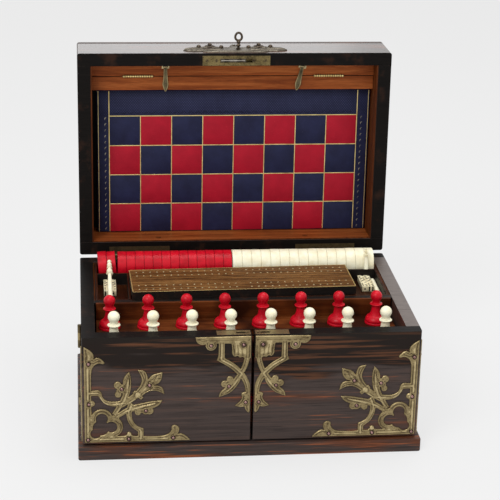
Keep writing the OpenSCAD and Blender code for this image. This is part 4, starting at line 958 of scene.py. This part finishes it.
# Screws, plugs and the rest of the brasswork
def screws_on(name, body, places, r, metal):
    """Countersunk screw heads with their slots."""
    heads = Shape()
    slot = slab((-r * 0.85, -r * 0.16, 0), (r * 0.85, r * 0.16, 0.12), 0.03, 1)
    for i, place in enumerate(places):
        heads.add(*lathe([(r, -0.3), (r, 0.02), (r * 0.7, 0.07), (0, 0.09)], 18), place)
        heads.add(*slot, place @ turn("Z", 25 + 70 * i), 1)
    heads.piece(name, body, "aged_brass", metal, PIN_RING)


LOCK_LOW, LOCK_HIGH = local_box("lock_case", IN_LID)
lock_y = (LOCK_LOW[1] + LOCK_HIGH[1]) / 2
lock_x = (LOCK_LOW[0] + LOCK_HIGH[0]) / 2
lock_screws = [IN_LID @ shift(lock_x + x, lock_y, 0) for x in (-31, -21, 18, 30.5)]
screws_on("lock_screws", "lid", lock_screws, 1.8, HINGE_BRASS)
bolt_low, bolt_high = local_box("lock_bolt", IN_LID)
shine = slab((bolt_low[0] + 1, lock_y - 0.55, bolt_high[2] - 0.2),
             (bolt_high[0] - 1, lock_y + 0.55, bolt_high[2] + 0.3), 0.2)
Shape().add(*shine, IN_LID).piece("bolt_face", "lock_bolt", "aged_brass", STEEL)
for side, _ in SIDES:
    low, high = box_mm(side + "_strike_plate")
    screws_on(side + "_strike_screws", side + "_door",
              [shift(x, (low.y + high.y) / 2, high.z) for x in (low.x + 4, high.x - 4)], 1.4, BRASS)

ESC_LOW, ESC_HIGH = local_box("escutcheon", IN_LID)
ON_LID_FRONT = IN_LID @ shift((ESC_LOW[0] + ESC_HIGH[0]) / 2, CASE_D, 0) @ turn("X", -90)
# Its deep grooves get dark bronze: tarnish, and painted shade
relief("escutcheon", "escutcheon_brass", ON_LID_FRONT, metals=(DULL_BRASS, DARK_BRONZE, DULL_BRASS))
ESC_DOME = rounded([(2.4, 0.9), (2.4, 1.8), (2.1, 2.9), (1.2, 3.7), (0, 3.9)], 3)
ESC_BUD = rounded([(5.6, 0.9), (5.2, 1.7), (3.4, 2.3), (2.1, 2.5), (2.3, 3.3), (1.3, 4.3), (0, 4.5)], 3)
domes = Shape()
for x, y, profile in ((38, 24, ESC_DOME), (26, 29, ESC_BUD), (14.4, 21.4, ESC_DOME)):
    for sign in (-1, 1):
        domes.add(*lathe(profile, 20), ON_LID_FRONT @ shift(sign * x, y, 0))
domes.piece("escutcheon_domes", "lid", "dark_bronze", DARK_BRONZE)

KEY_LOW, KEY_HIGH = local_box("key", IN_LID)
BOW_R = 4.6
key_x, key_z = KEY_HIGH[0] - BOW_R, (KEY_LOW[2] + KEY_HIGH[2]) / 2
bow_y = KEY_HIGH[1] - BOW_R
key = Shape()
bow = [(key_x + 3.5 * math.sin(a) * (1 - 0.12 * math.cos(a)), bow_y + 4.1 * math.cos(a), key_z)
       for a in (2 * math.pi * k / 28 for k in range(28))]
key.add(*tube(bow, 1.2, 10, True), IN_LID)
STEM_FOOT = [(0, 0), (1.3, 0), (1.6, 0.6)]
STEM_RINGS = [(1.6, 1.2), (2.3, 1.8), (2.3, 2.5), (1.3, 3.2), (1.3, 3.8), (2.2, 4.8), (2.4, 5.4), (2.2, 6),
              (1.4, 7), (1.4, 7.6)]
STEM_NECK = [(2.2, -5.6), (2.2, -5), (1.1, -4), (0, -3.4)]
stem = [(r, base + y) for base, part in ((KEY_LOW[1], STEM_FOOT), (CASE_D, STEM_RINGS), (bow_y, STEM_NECK))
        for r, y in part]
key.add(*lathe(stem, 18), IN_LID @ shift(key_x, 0, key_z) @ turn("X", -90))
key.add(*slab((KEY_LOW[0], KEY_LOW[1] + 0.4, key_z - 0.9), (key_x, KEY_LOW[1] + 3.4, key_z + 0.9), 0.2), IN_LID)
key.piece("key_forged", "key", "dark_bronze", DARK_BRONZE, replaces=("key",), crease=50)

# Catches: spade-tipped brass leaves with a dark face, a raised rim and a rib
LEAF_L = 27
LEAF = [(1.7, 1.1), (2.2, 0.2), (1.8, -2), (1.9, -6), (2.1, -10), (2.5, -14.6), (3, -17.6), (3.1, -19.6),
        (2.3, -23), (1.1, -25.6), (0, -LEAF_L)]
CATCH_THICK = 0.85
CATCH_R = 1.2
CATCH_HEAD = 2.5
for side, slant in (("left", 0), ("right", 13)):
    node = "catch_" + side
    low, high = local_box(node, IN_LID)
    lean, upright = math.sin(math.radians(slant)), math.cos(math.radians(slant))
    drop = CATCH_R * upright + CATCH_HEAD * lean
    head_x = high[0] - CATCH_HEAD * upright - CATCH_R * lean if slant else (low[0] + high[0]) / 2
    place = IN_LID @ shift(head_x, high[1] - drop, high[2] - CATCH_R) @ turn("Z", -slant)
    long = (high[1] - low[1] - drop) / LEAF_L / upright
    half_ring = [(x, y * long if y < 0 else y) for x, y in LEAF]
    ring = [(-x, y) for x, y in half_ring] + half_ring[-2::-1]
    inner = [(x * 0.66, y + (0.9 if y < -20 else -0.4 if y > 1 else 0)) for x, y in ring]
    count = len(ring)
    points, faces = stacked((ring, -CATCH_THICK), (ring, -0.15), ([(x * 0.92, y) for x, y in ring], 0), (inner, -0.1),
                            (inner, -0.32), ([(x * 0.12, y) for x, y in inner], -0.05))
    leaf = Shape().add(points, faces, place, [0, 1] + [0] * (3 * count) + [1] * (2 * count))
    # The knuckle gets the lighter brass, a painted highlight
    leaf.add(*lathe([(0, -2.3), (0.9, -2.3), (CATCH_R, -1.8), (CATCH_R, 1.8), (0.9, 2.3), (0, 2.3)], 16),
             place @ turn("Y", 90), 2)
    leaf.piece("leaf_" + side, node, "aged_brass", BRASS, CATCH_FACE, BRASS_PAINTED_HIGHLIGHT, replaces=(node,), crease=40)

# Beaded knuckles of the flap's hinges
knuckles = Shape()
KNUCKLE_R = 1.3
BEAD_STEP = 2.4
BEAD = rounded([(0, -0.8), (KNUCKLE_R, -0.8), (KNUCKLE_R + 0.2, -0.4), (KNUCKLE_R + 0.2, 0.4), (KNUCKLE_R, 0.8),
                (0, 0.8)], 3)
for low, high in solids_of("flap_leaves", IN_LID):
    count = int((high[0] - low[0]) / BEAD_STEP)
    for k in range(count):
        x = low[0] + (k + 0.5) * (high[0] - low[0]) / count
        knuckles.add(*lathe(BEAD, 12), IN_LID @ shift(x, high[1] - KNUCKLE_R, high[2] - KNUCKLE_R) @ turn("Y", 90))
knuckles.piece("flap_knuckles", "flap_leaves", "aged_brass", GILT)

# Games board: leather on both leaves, and the squares, lines and tooling of the face that shows
BOARD_LOW, BOARD_HIGH = local_box("board_front_leaf", IN_LID)
SQUARE = 33.44
GRID_X0 = -132
GRID_X1 = GRID_X0 + 8 * SQUARE
GRID_TOP = 145.5
ROW = 32.7
LINE_W = 1.15
GAP = 0.3
EDGE_LINE = 0.4
face_z = BOARD_HIGH[2]
foot_y = BOARD_LOW[1] + 0.8
head_y = BOARD_HIGH[1] - 1
edge_x = (BOARD_LOW[0] + 1.6, BOARD_HIGH[0] - 1.6)

leaves = Shape()
for leaf_box in ((BOARD_LOW, BOARD_HIGH), local_box("board_back_leaf", IN_LID)):
    leaves.add(*slab(*leaf_box, 1.2, 3), IN_LID)
leaves.piece("board_leaves", "games_board", "board_leather", NAVY, replaces=("board_front_leaf", "board_back_leaf"))

squares = Shape()
columns = [GRID_X0 + SQUARE * column for column in range(9)]
rows = [GRID_TOP - ROW * row for row in range(4)]
for row, y in enumerate(rows):
    for column, x in enumerate(columns[:-1]):
        pad(squares, x + GAP, max(y - ROW + GAP, foot_y), x + SQUARE - GAP, y - GAP, face_z, 0.12, (row + column) % 2)
pad(squares, edge_x[0] + EDGE_LINE, GRID_TOP + EDGE_LINE, edge_x[1] - EDGE_LINE, head_y, face_z, 0.1, 2)
squares.piece("board_squares", "games_board", "board_leather", NAVY, RED_LEATHER, NAVY_BORDER)

gilding = Shape()
half = LINE_W / 2
for x in columns:
    pad(gilding, x - half, foot_y, x + half, head_y if x in (columns[0], GRID_X1) else GRID_TOP + half, face_z, 0.2)
for y in rows:
    pad(gilding, GRID_X0 - half, y - half, GRID_X1 + half, y + half, face_z, 0.19)
for x in edge_x:
    pad(gilding, x - EDGE_LINE, foot_y, x + EDGE_LINE, head_y, face_z, 0.18)
gilding.piece("board_gilding", "games_board", "aged_brass", GILT)

tooling = Shape()
CRESCENT = [(-0.5, -0.1), (0.7, 0.05), (1.8, -0.4), (0.8, 0.7), (-0.6, 0.5), (-1.6, -0.7)]
STAMPS = 26
STAMP_STEP = 6.5
STAMP_TURN = 56
for x in ((edge_x[0] + GRID_X0) / 2 + 1.6, (edge_x[1] + GRID_X1) / 2 - 1.2):
    for k in range(STAMPS):
        spot = IN_LID @ shift(x, BOARD_LOW[1] + 4 + STAMP_STEP * k, face_z) @ turn("Z", STAMP_TURN)
        tooling.add(*stacked((CRESCENT, -0.05), (CRESCENT, 0.06)), spot)
tooling.piece("board_tooling", "games_board", "aged_brass", TOOLED, crease=0)

scallops = Shape()
SCALLOP_STEP = 7.6
for k in range(1, int((GRID_X1 - GRID_X0) / SCALLOP_STEP)):
    place = IN_LID @ shift(GRID_X0 + SCALLOP_STEP * k, GRID_TOP, face_z + 0.05)
    arc = [(2.8 * math.cos(a), 4.6 - 1.9 * math.sin(a), 0) for a in (math.pi * j / 8 for j in range(9))]
    scallops.add(*tube(arc, 0.42, 6), place).add(*tube([(x, 4.9, 0) for x in (3.5, 3.8, 4.1)], 0.5, 6), place)
scallops.piece("board_scallops", "games_board", "board_leather", NAVY_TOOLED)

# Two plugs in the ledge under the board
plugs = Shape()
PLUG_X = 80
LINING_LOW, LINING_HIGH = local_box("lid_lining", IN_LID)
for sign in (-1, 1):
    spot = IN_LID @ shift(sign * PLUG_X, LINING_LOW[1] + LINING_T, LINING_HIGH[2] - 8.5) @ turn("X", -90)
    plugs.add(*lathe([(2.9, -0.2), (2.9, 0.1), (2.4, 0.22), (0, 0.26)], 20), spot)
plugs.piece("ledge_plugs", "lid", "mahogany", MAHOGANY_SHADED_Z)

# Camera: the photograph's view, from a fit of the lid, doors and plinth
CAMERA_AT = (-0.1633, -1.5396, 0.7432)
CAMERA_PITCH = -0.352
CAMERA_ROLL = 0.023
CAMERA_YAW = -0.11
camera = bpy.data.objects.new("camera", bpy.data.cameras.new("camera"))
bpy.context.scene.collection.objects.link(camera)
camera.data.sensor_width = 36
camera.data.lens = 117.1
tilt = Matrix.Rotation(math.pi / 2 + CAMERA_PITCH, 4, "X") @ Matrix.Rotation(CAMERA_ROLL, 4, "Z")
camera.matrix_world = shift(*CAMERA_AT) @ Matrix.Rotation(CAMERA_YAW, 4, "Z") @ tilt
bpy.context.scene.camera = camera

# Floor, background and light
PALE = 0.863


def background(owner, end, plain, grey, pale, share, strength=None):
    """Mixes a plain shader with the pale background, for the rays of the camera, gloss and glass, which see it."""
    owner.use_nodes = True
    tree = owner.node_tree
    tree.nodes.clear()
    shaders = [tree.nodes.new(plain), tree.nodes.new(pale)]
    for shader, level in zip(shaders, (grey, PALE)):
        shader.inputs["Color"].default_value = (level, level, level, 1)
    if strength:
        shaders[0].inputs["Strength"].default_value = strength
    rays = tree.nodes.new("ShaderNodeLightPath").outputs
    seen = rays["Is Camera Ray"]
    for how, other in (("MAXIMUM", rays["Is Glossy Ray"]), ("MAXIMUM", rays["Is Transmission Ray"]),
                       ("MULTIPLY", share)):
        step = tree.nodes.new("ShaderNodeMath")
        step.operation = how
        tree.links.new(seen, step.inputs[0])
        if how == "MULTIPLY":
            step.inputs[1].default_value = other
        else:
            tree.links.new(other, step.inputs[1])
        seen = step.outputs[0]
    blend = tree.nodes.new("ShaderNodeMixShader")
    for socket, source in zip(blend.inputs, (seen, shaders[0].outputs[0], shaders[1].outputs[0])):
        tree.links.new(source, socket)
    tree.links.new(blend.outputs[0], tree.nodes.new(end).inputs[0])


floor_data = bpy.data.meshes.new("floor")
floor_data.from_pydata([(-9, -9, 0), (9, -9, 0), (9, 9, 0), (-9, 9, 0)], [], [[0, 1, 2, 3]])
floor = bpy.data.objects.new("floor", floor_data)
bpy.context.scene.collection.objects.link(floor)
paper = bpy.data.materials.new("floor_paper")
background(paper, "ShaderNodeOutputMaterial", "ShaderNodeBsdfDiffuse", 0.8, "ShaderNodeEmission", 0.8)
floor_data.materials.append(paper)

world = bpy.data.worlds.new("studio")
bpy.context.scene.world = world
background(world, "ShaderNodeOutputWorld", "ShaderNodeBackground", 1, "ShaderNodeBackground", 1, 0.62)


def lamp(name, at, target, size, watts, height=None):
    data = bpy.data.lights.new(name, "AREA")
    data.shape = "RECTANGLE"
    data.size = size
    data.size_y = height or size
    data.energy = watts
    made = bpy.data.objects.new(name, data)
    bpy.context.scene.collection.objects.link(made)
    made.location = at
    made.rotation_euler = (Vector(target) - Vector(at)).to_track_quat("-Z", "Y").to_euler()


lamp("key_light", (-0.9, -1.3, 1.7), (0, 0, 0.15), 0.9, 22)
lamp("top_light", (0.3, 0.2, 1.9), (0, 0, 0.1), 1.2, 16)
lamp("back_strip", (-0.6, 3.2, 0.9), (0, 0, 0.4), 2.6, 4, 0.7)

bpy.context.scene.view_settings.view_transform = "Standard"
